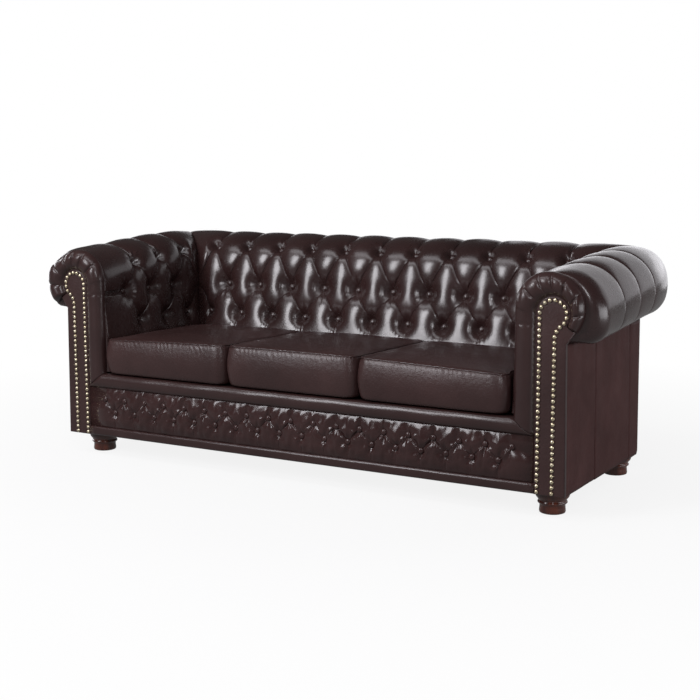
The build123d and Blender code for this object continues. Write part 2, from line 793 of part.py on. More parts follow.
# turned bun feet, each on a hanger bolt
foot_levels = (
    (0.0, foot_base_radius - 4),
    (0.1, foot_base_radius),
    (0.32, foot_base_radius - 1.5),
    (0.41, foot_neck_radius),
    (0.49, foot_neck_radius - 4.5),
    (0.6, foot_radius - 3),
    (0.74, foot_radius),
    (0.89, foot_radius - 3),
    (1.0, foot_radius - 8),
)
foot_spots = [(x, y) for x in (-foot_x, foot_x) for y in (foot_front_y, foot_rear_y)]
with BuildPart() as foot:
    add(skin([turned_ring(radius, share * frame_z, foot_sides) for share, radius in foot_levels]))
    with Locations((0, 0, (bolt_low_z + frame_z) / 2)):
        Cylinder(bolt_radius + bolt_play, frame_z - bolt_low_z, mode=Mode.SUBTRACT)
with BuildPart() as bun_feet:
    with Locations(*[(x, y, 0) for x, y in foot_spots]):
        add(foot.part)
with BuildPart() as foot_bolts:
    with Locations(*[(x, y, (bolt_low_z + bolt_high_z) / 2) for x, y in foot_spots]):
        Cylinder(bolt_radius, bolt_high_z - bolt_low_z)

# loose seat cushion: boxed sides that belly out and draw in between the corners, and a soft crown
inside_width = 2 * (roll_axis_x - arm_seat_reach - cushion_side_clear)
cushion_width = (inside_width - 2 * cushion_gap) / 3
cushion_front_y = border_front_y
cushion_back_y = roll_axis_y - back_seat_reach - cushion_back_clear
cushion_depth = cushion_back_y - cushion_front_y
cushion_y = (cushion_back_y + cushion_front_y) / 2
cushion_levels = (
    (seat_top_z, 9.0),
    (seat_top_z + 10, 2.5),
    ((seat_top_z + cushion_edge_z) / 2, 0.0),
    (cushion_edge_z - 12, 2.0),
    (cushion_edge_z, 8.0),
    (cushion_edge_z + 0.5 * cushion_crown, 45.0),
    (cushion_edge_z + 0.85 * cushion_crown, 110.0),
    (cushion_edge_z + cushion_crown, 180.0),
)


def cushion_ring(height, inset):
    """Outline of a cushion at one height: round corners, and sides drawn in a little between them."""
    half_x = cushion_width / 2 - inset
    half_y = cushion_depth / 2 - inset
    corner = max(cover_leather, cushion_corner - 0.4 * inset)
    ring = []
    for quarter, (right, back) in enumerate(((1, 1), (-1, 1), (-1, -1), (1, -1))):
        for step in range(4):
            turn = math.radians(90 * quarter + 30 * step)
            x = right * (half_x - corner) + corner * math.cos(turn)
            y = back * (half_y - corner) + corner * math.sin(turn)
            ring.append((x, cushion_y + y, height))
        side = math.radians(90 * (quarter + 1))
        x = (half_x - cushion_draw) * math.cos(side)
        y = (half_y - cushion_draw) * math.sin(side)
        ring.append((x, cushion_y + y, height))
    return ring


core_x = cushion_width / 2 - cover_leather
core_front_y = cushion_front_y + cover_leather
core_back_y = cushion_back_y - cover_leather
with BuildPart() as cushion_core:
    fill(
        (-core_x, core_front_y, seat_top_z + cover_leather / 2),
        (core_x, core_back_y, cushion_edge_z - cover_leather / 2),
    )
    chamfer(cushion_core.edges().filter_by(Axis.Z), length=cushion_corner / 2)
with BuildPart() as cushion_cover:
    add(skin([cushion_ring(height, inset) for height, inset in cushion_levels]))
    add(cushion_core.part, mode=Mode.SUBTRACT)

pieces = {
    "back_pad": back_pad,
    "arm_pad_left": arm_pad_left,
    "arm_pad_right": arm_pad_right,
    "back_buttons": back_buttons,
    "arm_buttons_left": arm_buttons_left,
    "arm_buttons_right": arm_buttons_right,
    "arm_facing_left": arm_facing_left,
    "arm_facing_right": arm_facing_right,
    "arm_border_left": arm_border_left,
    "arm_border_right": arm_border_right,
    "front_border": front_border,
    "front_panel": front_panel,
    "front_buttons": front_buttons,
    "base_strip": base_strip,
    "nails_left": nails_left,
    "nails_right": nails_right,
    "side_cover_front_left": side_cover_front_left,
    "side_cover_front_right": side_cover_front_right,
    "side_cover_rear_left": side_cover_rear_left,
    "side_cover_rear_right": side_cover_rear_right,
    "outer_back": outer_back,
    "front_rail": front_rail,
    "rear_rail": rear_rail,
    "side_rail_left": side_rail_left,
    "side_rail_right": side_rail_right,
    "seat_stretchers": seat_stretchers,
    "corner_blocks": corner_blocks,
    "arm_post_left": arm_post_left,
    "arm_post_right": arm_post_right,
    "corner_post_left": corner_post_left,
    "corner_post_right": corner_post_right,
    "arm_top_rail_left": arm_top_rail_left,
    "arm_top_rail_right": arm_top_rail_right,
    "arm_tuck_rail_left": arm_tuck_rail_left,
    "arm_tuck_rail_right": arm_tuck_rail_right,
    "arm_liner_left": arm_liner_left,
    "arm_liner_right": arm_liner_right,
    "back_top_rail": back_top_rail,
    "back_tuck_rail": back_tuck_rail,
    "back_posts": back_posts,
    "back_webbing": back_webbing,
    "seat_springs": seat_springs,
    "spring_clips": spring_clips,
    "seat_deck": seat_deck,
    "dust_cover": dust_cover,
    "bun_feet": bun_feet,
    "foot_bolts": foot_bolts,
}
for piece_name, piece in pieces.items():
    piece.part.label = piece_name
    export_step(piece.part, f"parts/{piece_name}.step")

for place, spot in (("left", -1), ("middle", 0), ("right", 1)):
    with BuildPart() as seat_cushion:
        with Locations((spot * (cushion_width + cushion_gap), 0, 0)):
            add(cushion_cover.part)
    seat_cushion.part.label = f"seat_cushion_{place}"
    export_step(seat_cushion.part, f"parts/seat_cushion_{place}.step")
    with BuildPart() as cushion_filling:
        with Locations((spot * (cushion_width + cushion_gap), 0, 0)):
            add(cushion_core.part)
    cushion_filling.part.label = f"cushion_filling_{place}"
    export_step(cushion_filling.part, f"parts/cushion_filling_{place}.step")
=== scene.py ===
import json
import math
from dataclasses import dataclass, replace

import bmesh
import bpy
import numpy as np
from mathutils import Matrix, Vector
from mathutils.kdtree import KDTree


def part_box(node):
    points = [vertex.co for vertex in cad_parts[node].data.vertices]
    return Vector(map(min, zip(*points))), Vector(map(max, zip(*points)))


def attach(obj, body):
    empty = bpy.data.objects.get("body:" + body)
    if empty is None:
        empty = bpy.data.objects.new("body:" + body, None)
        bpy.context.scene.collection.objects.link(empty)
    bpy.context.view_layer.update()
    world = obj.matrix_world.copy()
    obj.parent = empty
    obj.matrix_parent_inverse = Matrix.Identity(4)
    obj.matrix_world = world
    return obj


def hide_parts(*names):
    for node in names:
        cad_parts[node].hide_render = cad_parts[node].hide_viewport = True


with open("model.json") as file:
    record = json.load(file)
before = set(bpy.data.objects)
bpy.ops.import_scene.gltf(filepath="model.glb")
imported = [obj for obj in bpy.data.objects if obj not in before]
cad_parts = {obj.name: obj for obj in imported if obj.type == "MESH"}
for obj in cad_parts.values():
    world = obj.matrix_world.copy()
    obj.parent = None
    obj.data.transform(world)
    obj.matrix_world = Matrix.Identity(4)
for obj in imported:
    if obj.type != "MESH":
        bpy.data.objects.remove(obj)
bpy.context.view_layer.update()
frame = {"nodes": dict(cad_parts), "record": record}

chance = np.random.default_rng(11)

# sizes in metres and angles in radians, most of them shared with the solids
PITCH = 0.1396
COLUMNS = 5
CORNER_X = COLUMNS * PITCH
CORNER_Y = 0.084
CORNER_REACH = 0.200
CORNER_EASE = 0.5
ROW_LOW = 0.465
ROW_MID = 0.570
ROW_EDGE = 0.010
ROW_TURN = math.radians(41)
ARM_ROW_TURN = math.radians(31)
BUTTON_HALF = 0.009
BUTTON_SINK = 0.009
ROLL_RADIUS = 0.115
ROLL_PUFF = 0.015
FACE_PUFF = 0.027
ARM_AXIS_Z = 0.590
BACK_AXIS_Z = 0.624
BACK_AXIS = (0.0, BACK_AXIS_Z, ROLL_RADIUS)
PAD_FOOT = 0.300
ARM_REACH = 0.141
BACK_REACH = 0.188
MITRE_REACH = 0.142
CORE_INNER = 0.080
CORE_OUTER = 0.025
CORE_TOP = 0.545
UNDER_ROLL_Z = 0.515
UNDER_ROLL_TURN = math.radians(222)
AXIS_X = CORNER_X + CORNER_REACH
AXIS_Y = CORNER_Y + CORNER_REACH
COVER_Y = -0.385
FACE_Y = -0.400
SCROLL_X = AXIS_X - 0.028
SCROLL_Z = 0.616
SCROLL_RADIUS = 0.104
BULB_X = SCROLL_X + 0.016
BULB_Z = SCROLL_Z - 0.016
BULB_RADIUS = 0.051
SCROLL_END = math.radians(-39)
SPREAD_RIGHT = 0.003
SPREAD_LEFT = 0.036
SCROLL_LEFT = SCROLL_X - SCROLL_RADIUS
BULB_LEFT = BULB_X - BULB_RADIUS
SIDE_X = AXIS_X + 0.0325
SIDE_FLARE = -0.006
REAR_Y = AXIS_Y + 0.029
REAR_CORNER = 0.075
REAR_LEAN = 0.014
COVER_LOW = 0.073
SIDE_SEAM = -0.150
CORNER_SEAM = 0.160
SEAT_TOP = 0.294
BORDER_LOW = 0.245
PANEL_LOW = 0.105
PANEL_UPPER_ROW = 0.204
PANEL_LOWER_ROW = 0.160
PANEL_PITCH = 0.085
PANEL_COLUMNS = 9


# meshes and pieces

SAME_SPOT = 1e-6


def settle(form, mesh):
    """Write a form into a mesh with its normals turned outward."""
    bmesh.ops.recalc_face_normals(form, faces=form.faces)
    form.to_mesh(mesh)
    form.free()
    return mesh


def set_points(mesh, points):
    mesh.vertices.foreach_set("co", points.astype(np.float32).ravel())
    mesh.update()


def points_of(mesh):
    return np.array([v.co for v in mesh.vertices])


def normals_of(mesh):
    return np.array([v.normal for v in mesh.vertices])


def add_object(name, data):
    """New object of a mesh, lamp or camera in the scene."""
    item = bpy.data.objects.new(name, data)
    bpy.context.scene.collection.objects.link(item)
    return item


def dress(piece, material, body="frame", slot="leather", stands_for=()):
    """Give a piece its smooth shading, its material and the body it rides on."""
    for polygon in piece.data.polygons:
        polygon.use_smooth = True
    piece.data.materials.append(material)
    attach(piece, body)
    if stands_for:
        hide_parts(*stands_for)
    return piece


def make_piece(name, shape, material, **riding):
    """Piece of a shape's points and faces, with the points at one spot joined."""
    points, faces = shape
    mesh = bpy.data.meshes.new(name)
    mesh.from_pydata([tuple(map(float, point)) for point in points], [], faces)
    form = bmesh.new()
    form.from_mesh(mesh)
    bmesh.ops.remove_doubles(form, verts=form.verts, dist=SAME_SPOT)
    return dress(add_object(name, settle(form, mesh)), material, **riding)


def grid_faces(rows, columns, loop=False):
    """Quads over a grid of rows, each a run of points, closed round the run where it loops."""
    faces = []
    for i in range(rows - 1):
        for j in range(columns if loop else columns - 1):
            a = i * columns + j
            b = i * columns + (j + 1) % columns
            faces.append((a, b, b + columns, a + columns))
    return faces


def capped_rings(rings):
    """Points and faces of a closed form of rings, with a cap on the first and the last."""
    rows, count = rings.shape[:2]
    faces = grid_faces(rows, count, loop=True)
    faces += [tuple(range(count)), tuple(range((rows - 1) * count, rows * count))]
    return rings.reshape(-1, 3), faces


def backed(faces, total):
    """Faces of a grid and of its twin, whose points follow it and which faces the other way."""
    return faces + [tuple(total + corner for corner in face[::-1]) for face in faces]


def closed_sheet(upper, lower, rows, columns):
    """Points and faces of a thin sheet between two grids of points, closed round its rim."""
    total = len(upper)
    rim = list(range(columns)) + [row * columns + columns - 1 for row in range(1, rows)]
    rim += [(rows - 1) * columns + column for column in range(columns - 2, -1, -1)]
    rim += [row * columns for row in range(rows - 2, 0, -1)]
    faces = backed(grid_faces(rows, columns), total)
    faces += [(a, b, b + total, a + total) for a, b in zip(rim, rim[1:] + rim[:1])]
    return np.concatenate([upper, lower]), faces


def unit(ways):
    return ways / np.linalg.norm(ways, axis=1)[:, None]


def run_lengths(line):
    """Length along a line at each of its points."""
    return np.concatenate([[0], np.cumsum(np.hypot(*np.diff(line, axis=0).T))])


def mirror_points(points):
    return np.array(points) * np.array([-1.0, 1.0, 1.0])


def ease(count):
    """Fractions from 0 to 1, closer together at both ends."""
    return (1 - np.cos(np.linspace(0, math.pi, count + 1))) / 2


def ripple(points, scale, seed):
    """Slow wander between about -1 and 1 over space, the same on each run."""
    draw = np.random.default_rng(seed)
    total = np.zeros(len(points))
    for _ in range(6):
        direction = draw.normal(size=3)
        direction *= draw.uniform(0.6, 1.5) / (np.linalg.norm(direction) * scale)
        total += np.sin(points @ direction * 2 * math.pi + draw.uniform(0, 2 * math.pi))
    return total / 3.5


# materials


def new_material(name):
    material = bpy.data.materials.new(name)
    material.use_nodes = True
    tree = material.node_tree
    return material, tree, tree.nodes["Principled BSDF"]


def fill(tree, node, values):
    """Give a node's inputs their values, each a constant or the output of another node."""
    for key, value in values.items():
        if isinstance(value, bpy.types.NodeSocket):
            tree.links.new(value, node.inputs[key])
        else:
            node.inputs[key].default_value = value


def add_node(tree, kind, values, **settings):
    node = tree.nodes.new(kind)
    for key, value in settings.items():
        setattr(node, key, value)
    fill(tree, node, values)
    return node


def reckon(tree, operation, first, second, **settings):
    values = {0: first, 1: second}
    return add_node(tree, "ShaderNodeMath", values, operation=operation, **settings).outputs[0]


def own_space(tree):
    return tree.nodes.new("ShaderNodeTexCoord").outputs["Object"]


def ramp(tree, source, stops):
    node = add_node(tree, "ShaderNodeValToRGB", {"Fac": source})
    elements = node.color_ramp.elements
    while len(elements) < len(stops):
        elements.new(0.5)
    for element, (place, colour) in zip(elements, stops):
        element.position = place
        element.color = (*colour, 1)
    return node.outputs["Color"]


def between(tree, source, low, high, start=0.0, end=1.0):
    """A value carried from one range to another."""
    values = {"Value": source, "From Min": start, "From Max": end, "To Min": low, "To Max": high}
    return add_node(tree, "ShaderNodeMapRange", values).outputs["Result"]


def noise(tree, scale, detail=3.0, stretch=(1, 1, 1), roughness=0.5):
    """Noise in the object's own space."""
    place = add_node(tree, "ShaderNodeMapping", {"Vector": own_space(tree), "Scale": stretch})
    values = {"Vector": place.outputs["Vector"], "Scale": scale, "Detail": detail, "Roughness": roughness}
    return add_node(tree, "ShaderNodeTexNoise", values).outputs["Fac"]


def bump(tree, height, strength, distance, **under):
    values = {"Height": height, "Strength": strength, "Distance": distance, **under}
    return add_node(tree, "ShaderNodeBump", values).outputs["Normal"]


LEATHER_BROWNS = (
    (0.30, (0.0290, 0.0124, 0.0116)),
    (0.55, (0.0400, 0.0178, 0.0168)),
    (0.75, (0.0520, 0.0245, 0.0232)),
)
RUBBED_BROWN = (0.078, 0.042, 0.040, 1)


def leather(name, painted_light_tone, rough_low, rough_high, grain, crease, coat, specular):
    """Dark espresso leather: mottled brown, pebbled grain, fine creases and rubbed high spots, with painted
    shade left in the hollows and creases where the rubbed tone falls away; the tone scales the browns part
    by part as painted light and shade.
    """
    material, tree, shader = new_material(name)
    # painted light and shade: the tone darkens or brightens the same browns for each part
    browns = [(at, tuple(painted_light_tone * part for part in brown)) for at, brown in LEATHER_BROWNS]
    mottle = ramp(tree, noise(tree, 6.0, 5.0), browns)
    # painted shade and wear: pointiness mixes the rubbed brown into raised edges as wear and leaves hollows
    # and creases darker as painted shade
    edge = tree.nodes.new("ShaderNodeNewGeometry").outputs["Pointiness"]
    wear_and_crease_shade = reckon(tree, "MULTIPLY", between(tree, edge, -5.2, 5.6), 0.3, use_clamp=True)
    tones = {"Factor": wear_and_crease_shade, "A": mottle, "B": RUBBED_BROWN}
    pebbles = {"Vector": own_space(tree), "Scale": 420.0}
    pebble = add_node(tree, "ShaderNodeTexVoronoi", pebbles, feature="SMOOTH_F1").outputs["Distance"]
    grained = bump(tree, pebble, grain, 0.0009)
    creased = bump(tree, noise(tree, 95.0, 5.0, roughness=0.6), crease, 0.0011, Normal=grained)
    fill(tree, shader, {
        "Base Color": add_node(tree, "ShaderNodeMix", tones, data_type="RGBA").outputs["Result"],
        "Roughness": between(tree, noise(tree, 26.0, 4.0), rough_low, rough_high),
        "Normal": bump(tree, noise(tree, 17.0, 2.0), 0.22, 0.004, Normal=creased),
        "Specular IOR Level": specular,
        "Coat Weight": coat,
        "Coat Roughness": 0.16,
    })
    return material


BRASS_TONES = ((0.25, (0.42, 0.33, 0.20)), (0.45, (0.72, 0.63, 0.44)), (0.75, (0.86, 0.79, 0.62)))


def brass():
    material, tree, shader = new_material("antique_brass")
    fill(tree, shader, {
        "Base Color": ramp(tree, noise(tree, 140.0, 4.0), BRASS_TONES),
        "Roughness": between(tree, noise(tree, 320.0), 0.22, 0.42),
        "Normal": bump(tree, noise(tree, 700.0), 0.15, 0.0004),
        "Metallic": 1.0,
    })
    return material


def grain_wood(name, dark, light, rough, coat):
    material, tree, shader = new_material(name)
    figure = noise(tree, 9.0, 6.0, (6.0, 6.0, 1.2), 0.65)
    fill(tree, shader, {
        "Base Color": ramp(tree, figure, [(0.35, dark), (0.65, light)]),
        "Roughness": between(tree, noise(tree, 60.0, 3.0, (4, 4, 1)), rough, rough + 0.15),
        "Normal": bump(tree, figure, 0.2, 0.0008),
        "Coat Weight": coat,
        "Coat Roughness": 0.12,
    })
    return material


def plain_stuff(name, dark, light, scale, rough, metal=0.0, stretch=(1, 1, 1)):
    """Inner materials: webbing, foam, board and wire, each with its own figure."""
    material, tree, shader = new_material(name)
    figure = noise(tree, scale, 4.0, stretch)
    fill(tree, shader, {
        "Base Color": ramp(tree, figure, [(0.35, dark), (0.65, light)]),
        "Roughness": between(tree, figure, rough, min(1.0, rough + 0.15)),
        "Normal": bump(tree, figure, 0.3, 0.001),
        "Metallic": metal,
    })
    return material


def woven(name, dark, light, threads):
    """Plain woven lining of crossing threads, so many to the metre."""
    material, tree, shader = new_material(name)
    place = own_space(tree)
    heights = []
    for direction in ("X", "Y"):
        values = {"Vector": place, "Scale": threads / 20, "Distortion": 0.6}
        wave = add_node(tree, "ShaderNodeTexWave", values, bands_direction=direction)
        heights.append(wave.outputs["Fac"])
    crossing = reckon(tree, "MAXIMUM", *heights)
    shade = reckon(tree, "MULTIPLY", crossing, noise(tree, 14.0, 4.0))
    fill(tree, shader, {
        "Base Color": ramp(tree, shade, [(0.15, dark), (0.65, light)]),
        "Roughness": between(tree, crossing, 0.95, 0.75),
        "Normal": bump(tree, crossing, 0.5, 0.0006),
    })
    return material


# leathers: tone, least and most roughness, grain, creases, coat and specular level; the tone is painted
# light and shade set part by part, darker on the tufted pads and brighter on the outer covers
tufted_leather = leather("tufted_leather", 0.80, 0.20, 0.34, 0.10, 0.18, 0.30, 0.50)
seat_leather = leather("seat_leather", 1.18, 0.28, 0.46, 0.30, 0.80, 0.08, 0.44)
cover_leather = leather("cover_leather", 2.05, 0.42, 0.58, 0.24, 0.45, 0.0, 0.07)
band_leather = leather("band_leather", 0.95, 0.24, 0.38, 0.16, 0.40, 0.20, 0.42)
panel_leather = leather("panel_leather", 1.10, 0.18, 0.30, 0.10, 0.18, 0.30, 0.28)
brass_finish = brass()
foot_finish = grain_wood("mahogany", (0.050, 0.010, 0.006), (0.135, 0.030, 0.014), 0.22, 0.5)
inner_finishes = {
    "frame_timber": grain_wood("frame_timber", (0.42, 0.27, 0.14), (0.60, 0.42, 0.24), 0.6, 0.0),
    "hardboard": plain_stuff("hardboard", (0.16, 0.09, 0.05), (0.26, 0.16, 0.09), 120.0, 0.7),
    "webbing": plain_stuff("webbing", (0.10, 0.09, 0.08), (0.24, 0.21, 0.17), 300.0, 0.8, 0.0, (1, 1, 0.2)),
    "steel": plain_stuff("spring_steel", (0.20, 0.20, 0.21), (0.42, 0.42, 0.44), 90.0, 0.35, 1.0),
    "lining": woven("lining", (0.010, 0.010, 0.010), (0.045, 0.043, 0.041), 500),
    "foam": plain_stuff("foam", (0.62, 0.55, 0.36), (0.78, 0.72, 0.52), 260.0, 0.9),
    "foot_wood": foot_finish,
    "leather": cover_leather,
    "nail_brass": brass_finish,
}


# tufted back and arms

SIDE_CLOSE = SIDE_X + SIDE_FLARE - AXIS_X + 0.001
REAR_CLOSE = REAR_Y + REAR_LEAN - AXIS_Y + 0.001
MITRE_CLOSE = 0.0295
CLOSE_BOW = 0.004
LOW_STEPS, MID_STEPS, UP_STEPS = 26, 30, 62
UP_CROWDING = 1.35
HALF_STEPS = 24
CORNER_STEPS = 22
FRONT_STEPS = 25
CORNER_RUN = 0.065
CORNER_PUFF = 0.6 * FACE_PUFF
LOW_PLEAT, UP_PLEAT = 0.07, 0.08
LOW_LEVELS = (0.300, 0.425, 0.462)
LOW_FILL = (0.75, 0.75, 0.0)
OVER_START, OVER_SPAN = math.radians(35), math.radians(30)
ROLL_TAIL = 0.05
TAIL_LIFT = 0.002
ROLL_TURNS = np.radians([0, 41, 75, 105, 145, 200])
ROLL_GROOVES = np.array([0.030, 0.026, 0.015, 0.010, 0.006, 0.004])
ROLL_FILL = np.array([0.0, 0.0, 0.15, 0.45, 0.70, 0.80])
ROLL_POWERS = np.array([0.29, 0.29, 0.27, 0.22, 0.15, 0.12])
PAD_FOLDS = (12, 15)
FAN_DEPTH, FAN_RING, FAN_WIDTH = 0.0065, 0.027, 0.016
STAR_DEPTH, STAR_GAP, STAR_WIDTH = 0.0048, 0.004, 0.012
NEST_DEPTH, NEST_WAVE, NEST_WIDTH = 0.0012, 0.012, 0.011
BUTTON_PIT = 0.014
HOLLOW_LOW, HOLLOW_MID, HOLLOW_ROLL = 0.028, 0.033, 0.021
BLEND_SPAN = 0.045
BLEND_SHIFTS = np.linspace(-0.04, 0.04, 9)
PAD_WANDER, PAD_WANDER_SPAN = 0.0012, 0.16
PAD_WANDER_WAY = np.array([0, -0.4, 1.0])
BUTTON_PULL = 0.10


@dataclass
class Column:
    """One upright line of a tufted pad, with the creases that cross it and its place between pleats."""

    spot: tuple
    heading: float
    reach: float
    axis: tuple
    run: float
    low: float
    up: float
    bend: float = 0.0
    across: float = 0.0
    mid_half: float = 0.0
    edge: bool = False
    row_turn: float = ROW_TURN
    close: float = SIDE_CLOSE
    low_puff: float = FACE_PUFF
    mid_puff: float = FACE_PUFF
    front_puff: float = FACE_PUFF
    roll_puff: float = ROLL_PUFF


def corner_stretch(outward, bend):
    """Distance from the corner's turning point, longer on the bend, where the pads run out to a mitre."""
    square = 1 / math.cos(bend) - 1
    span = np.clip((outward + CORE_INNER) / (CORE_INNER + ROLL_RADIUS + ROLL_PUFF), 0, 1)
    return (CORNER_REACH + outward) * (1 + (1 - CORNER_EASE * span) * square)


def valley_line(reach, axis_out, axis_z, radius, along):
    """Outward distance, height and facing angle of the line that the buttons pull down to."""
    lean = math.atan2(reach - radius, axis_z - PAD_FOOT)

    def raw(place):
        rise = (place - PAD_FOOT) / (axis_z - PAD_FOOT)
        turn = np.maximum(0, (place - axis_z) / radius)
        out = np.where(place <= axis_z, -reach + (reach - radius) * rise, -radius * np.cos(turn))
        height = np.where(place <= axis_z, place, axis_z + radius * np.sin(turn))
        return axis_out + out, height

    out, height = raw(along)
    near = np.exp(-((along - axis_z) / BLEND_SPAN) ** 2)
    soft_out = np.mean([raw(along + shift)[0] for shift in BLEND_SHIFTS], axis=0)
    soft_height = np.mean([raw(along + shift)[1] for shift in BLEND_SHIFTS], axis=0)
    facing = np.maximum(lean, (along - axis_z) / radius)
    return out + near * (soft_out - out), height + near * (soft_height - height), facing


def inside(across, climb):
    """How far inside its creases a point lies, from 0 to 1; climb runs from -1 at the vertex to 0."""
    x, y = across + climb, across - climb
    return np.clip((1 - x * x) * (1 - y * y), 0, 1)


def plump(depth):
    """Swell for a place inside the creases: a thin slit at the edge, then a nearly flat pillow."""
    return 0.44 + 0.24 * depth ** 0.10 + 0.32 * depth ** 0.60


def pleat(column, share):
    """How far inside its pleats a corner column lies, a share of the way from the pleat's end."""
    side = max(0.0, 1 - column.across ** 2)
    return side ** 2 * (1 - (1 - np.clip(share, 0, 1)) ** 2)


def low_lift(column, run):
    """Lift of the leather below the lower crease, which fills out toward the seat."""
    if column.edge:
        depth = pleat(column, (column.low - run) / LOW_PLEAT)
    else:
        depth = inside(column.across, np.clip((ROW_MID - run) / (ROW_MID - ROW_LOW), 0, 1) - 1)
    filled = np.interp(run, LOW_LEVELS, LOW_FILL)
    return column.low_puff * (filled + (1 - filled) * plump(depth))


def mid_lift(column, run):
    """Lift of the diamonds between the two creases."""
    middle = (run - (column.low + column.up) / 2) / max(1e-6, (column.up - column.low) / 2)
    half = column.mid_half
    depth = half ** 2 * (1 - middle ** 2) * ((2 - half) ** 2 - (middle * half) ** 2)
    return column.mid_puff * plump(np.clip(depth, 0, 1))


def up_lift(column, run, end):
    """Lift above the upper crease, over the roll in straight pleats and down to its underside."""
    axis_z, radius = column.axis[1:]
    top = axis_z + radius * column.row_turn
    turn = (run - axis_z) / radius
    groove = np.interp(turn, ROLL_TURNS, ROLL_GROOVES) * column.front_puff / FACE_PUFF
    filled = np.interp(turn, ROLL_TURNS, ROLL_FILL) * column.roll_puff
    power = np.interp(turn, ROLL_TURNS, ROLL_POWERS)
    if column.edge:
        depth = pleat(column, (run - column.up) / UP_PLEAT)
    else:
        depth = inside(column.across, np.minimum((run - ROW_MID) / (top - ROW_MID) - 1, 0))
    over = np.clip((turn - OVER_START) / OVER_SPAN, 0, 1)
    lift = filled + groove * ((1 - over) * plump(depth) + over * depth ** power)
    tail = np.clip((end - run) / ROLL_TAIL, 0, 1)
    return TAIL_LIFT + (lift - TAIL_LIFT) * (1 - (1 - tail) ** 2)


def hollow(height):
    """Width of the hollow round a button: widest in the middle row, least on the roll."""
    if height > ROW_MID + ROW_EDGE:
        return HOLLOW_ROLL
    return HOLLOW_MID if height > ROW_MID - ROW_EDGE else HOLLOW_LOW


def ring_fade(reach, ring, width):
    """Fade to both sides of a ring round a button, or outward from the button for a ring of 0."""
    return np.exp(-((reach - ring) / width) ** 2)


def star(angle, turn, first, second):
    """Two sets of folds round a button, turned by chance."""
    return 0.6 * np.cos(first * angle + turn) + 0.4 * np.cos(second * angle + 2.3 * turn)


def gathers(across, above, reach, turn, height):
    """Folds that fan out from a button, upward on the roll, and nested wrinkles beside the lower ones."""
    angle = np.arctan2(above, across)
    folds = star(angle, turn, *PAD_FOLDS)
    folds = np.sign(folds) * np.clip(folds, -0.2, 1) ** 2
    if height > ROW_MID + ROW_EDGE:
        return FAN_DEPTH * folds * (0.5 + 0.5 * np.sin(angle)) * ring_fade(reach, FAN_RING, FAN_WIDTH)
    wide = hollow(height)
    lean = -1 if height < ROW_MID - ROW_EDGE else 0
    fan = 0.55 + 0.45 * lean * np.sin(angle)
    starred = STAR_DEPTH * folds * fan * ring_fade(reach, wide + STAR_GAP, STAR_WIDTH)
    nested = np.cos(2 * math.pi * (reach - 0.6 * wide) / NEST_WAVE) * ring_fade(reach, wide, NEST_WIDTH)
    return starred + NEST_DEPTH * nested * np.cos(angle) ** 2


def pad_points(columns, buttons):
    """Points of a tufted pad, a closed ring to each column."""
    rings = []
    gather_turns = chance.uniform(0, 2 * math.pi, len(buttons))
    for column in columns:
        axis_out, axis_z, radius = column.axis
        end = axis_z + radius * UNDER_ROLL_TURN
        low_run = PAD_FOOT + (column.low - PAD_FOOT) * ease(LOW_STEPS)[:-1]
        mid_run = column.low + (column.up - column.low) * ease(MID_STEPS)[:-1]
        up_run = column.up + (end - column.up) * np.linspace(0, 1, UP_STEPS + 1) ** UP_CROWDING
        along = np.concatenate([low_run, mid_run, up_run])
        lifts = [low_lift(column, low_run), mid_lift(column, mid_run), up_lift(column, up_run, end)]
        lift = np.concatenate(lifts)
        for (run, height), turn in zip(buttons, gather_turns):
            across, above = column.run - run, along - height
            reach = np.hypot(across, above)
            if reach.min() > BUTTON_PULL:
                continue
            lift = lift + gathers(across, above, reach, turn, height)
            lift = lift * (1 - 0.95 * ring_fade(reach, 0, hollow(height)))
            lift = lift - BUTTON_SINK * ring_fade(reach, 0, BUTTON_PIT)
        out, height, facing = valley_line(column.reach, axis_out, axis_z, radius, along)
        close_out = [column.close, CORE_OUTER, CORE_OUTER, -CORE_INNER, -CORE_INNER]
        close_height = [UNDER_ROLL_Z, UNDER_ROLL_Z, CORE_TOP, CORE_TOP, PAD_FOOT]
        out = np.concatenate([out - lift * np.cos(facing), close_out])
        height = np.concatenate([height + lift * np.sin(facing), close_height])
        stand = corner_stretch(out, column.bend)
        x = column.spot[0] + stand * math.cos(column.heading)
        y = column.spot[1] + stand * math.sin(column.heading)
        rings.append(np.stack([x, y, height], axis=1))
    return np.array(rings)


def pad_piece(name, points, node):
    flat = points.reshape(-1, 3)
    wander = ripple(flat, PAD_WANDER_SPAN, 5) * PAD_WANDER
    slack = flat + PAD_WANDER_WAY * wander[:, None]
    rings = capped_rings(slack.reshape(points.shape))
    piece = make_piece(name, rings, tufted_leather, stands_for=[node])


def crease_low(share):
    return ROW_LOW + share * (ROW_MID - BUTTON_HALF - ROW_LOW)


def crease_up(share, top):
    return top + share * (ROW_MID + BUTTON_HALF - top)


def tufted_column(spot, heading, reach, axis, run, share, side, row_turn, close):
    """Column on the regular grid; share is 0 at a top-row button and 1 at a middle-row one."""
    top = axis[1] + axis[2] * row_turn
    return Column(
        spot, heading, reach, axis, run, crease_low(share), crease_up(share, top),
        across=side * (1 - share), mid_half=1 - share, row_turn=row_turn, close=close,
    )


def corner_columns(heading, turn_way, reach, run, row_turn, close):
    """Columns round half a corner, from the last top-row button to the mitre."""
    top = BACK_AXIS_Z + ROLL_RADIUS * row_turn
    columns = []
    for part in ease(CORNER_STEPS):
        bend = part * math.pi / 4
        columns.append(Column(
            (CORNER_X, CORNER_Y), heading + turn_way * bend, reach + (MITRE_REACH - reach) * part,
            BACK_AXIS, run + part * CORNER_RUN, crease_low(part), crease_up(part, top),
            bend=bend, across=2 * part - 1, mid_half=1 - part, edge=True, row_turn=row_turn,
            close=close + (MITRE_CLOSE - close) * part ** 3 + CLOSE_BOW * math.sin(math.pi * part),
            low_puff=CORNER_PUFF,
        ))
    return columns


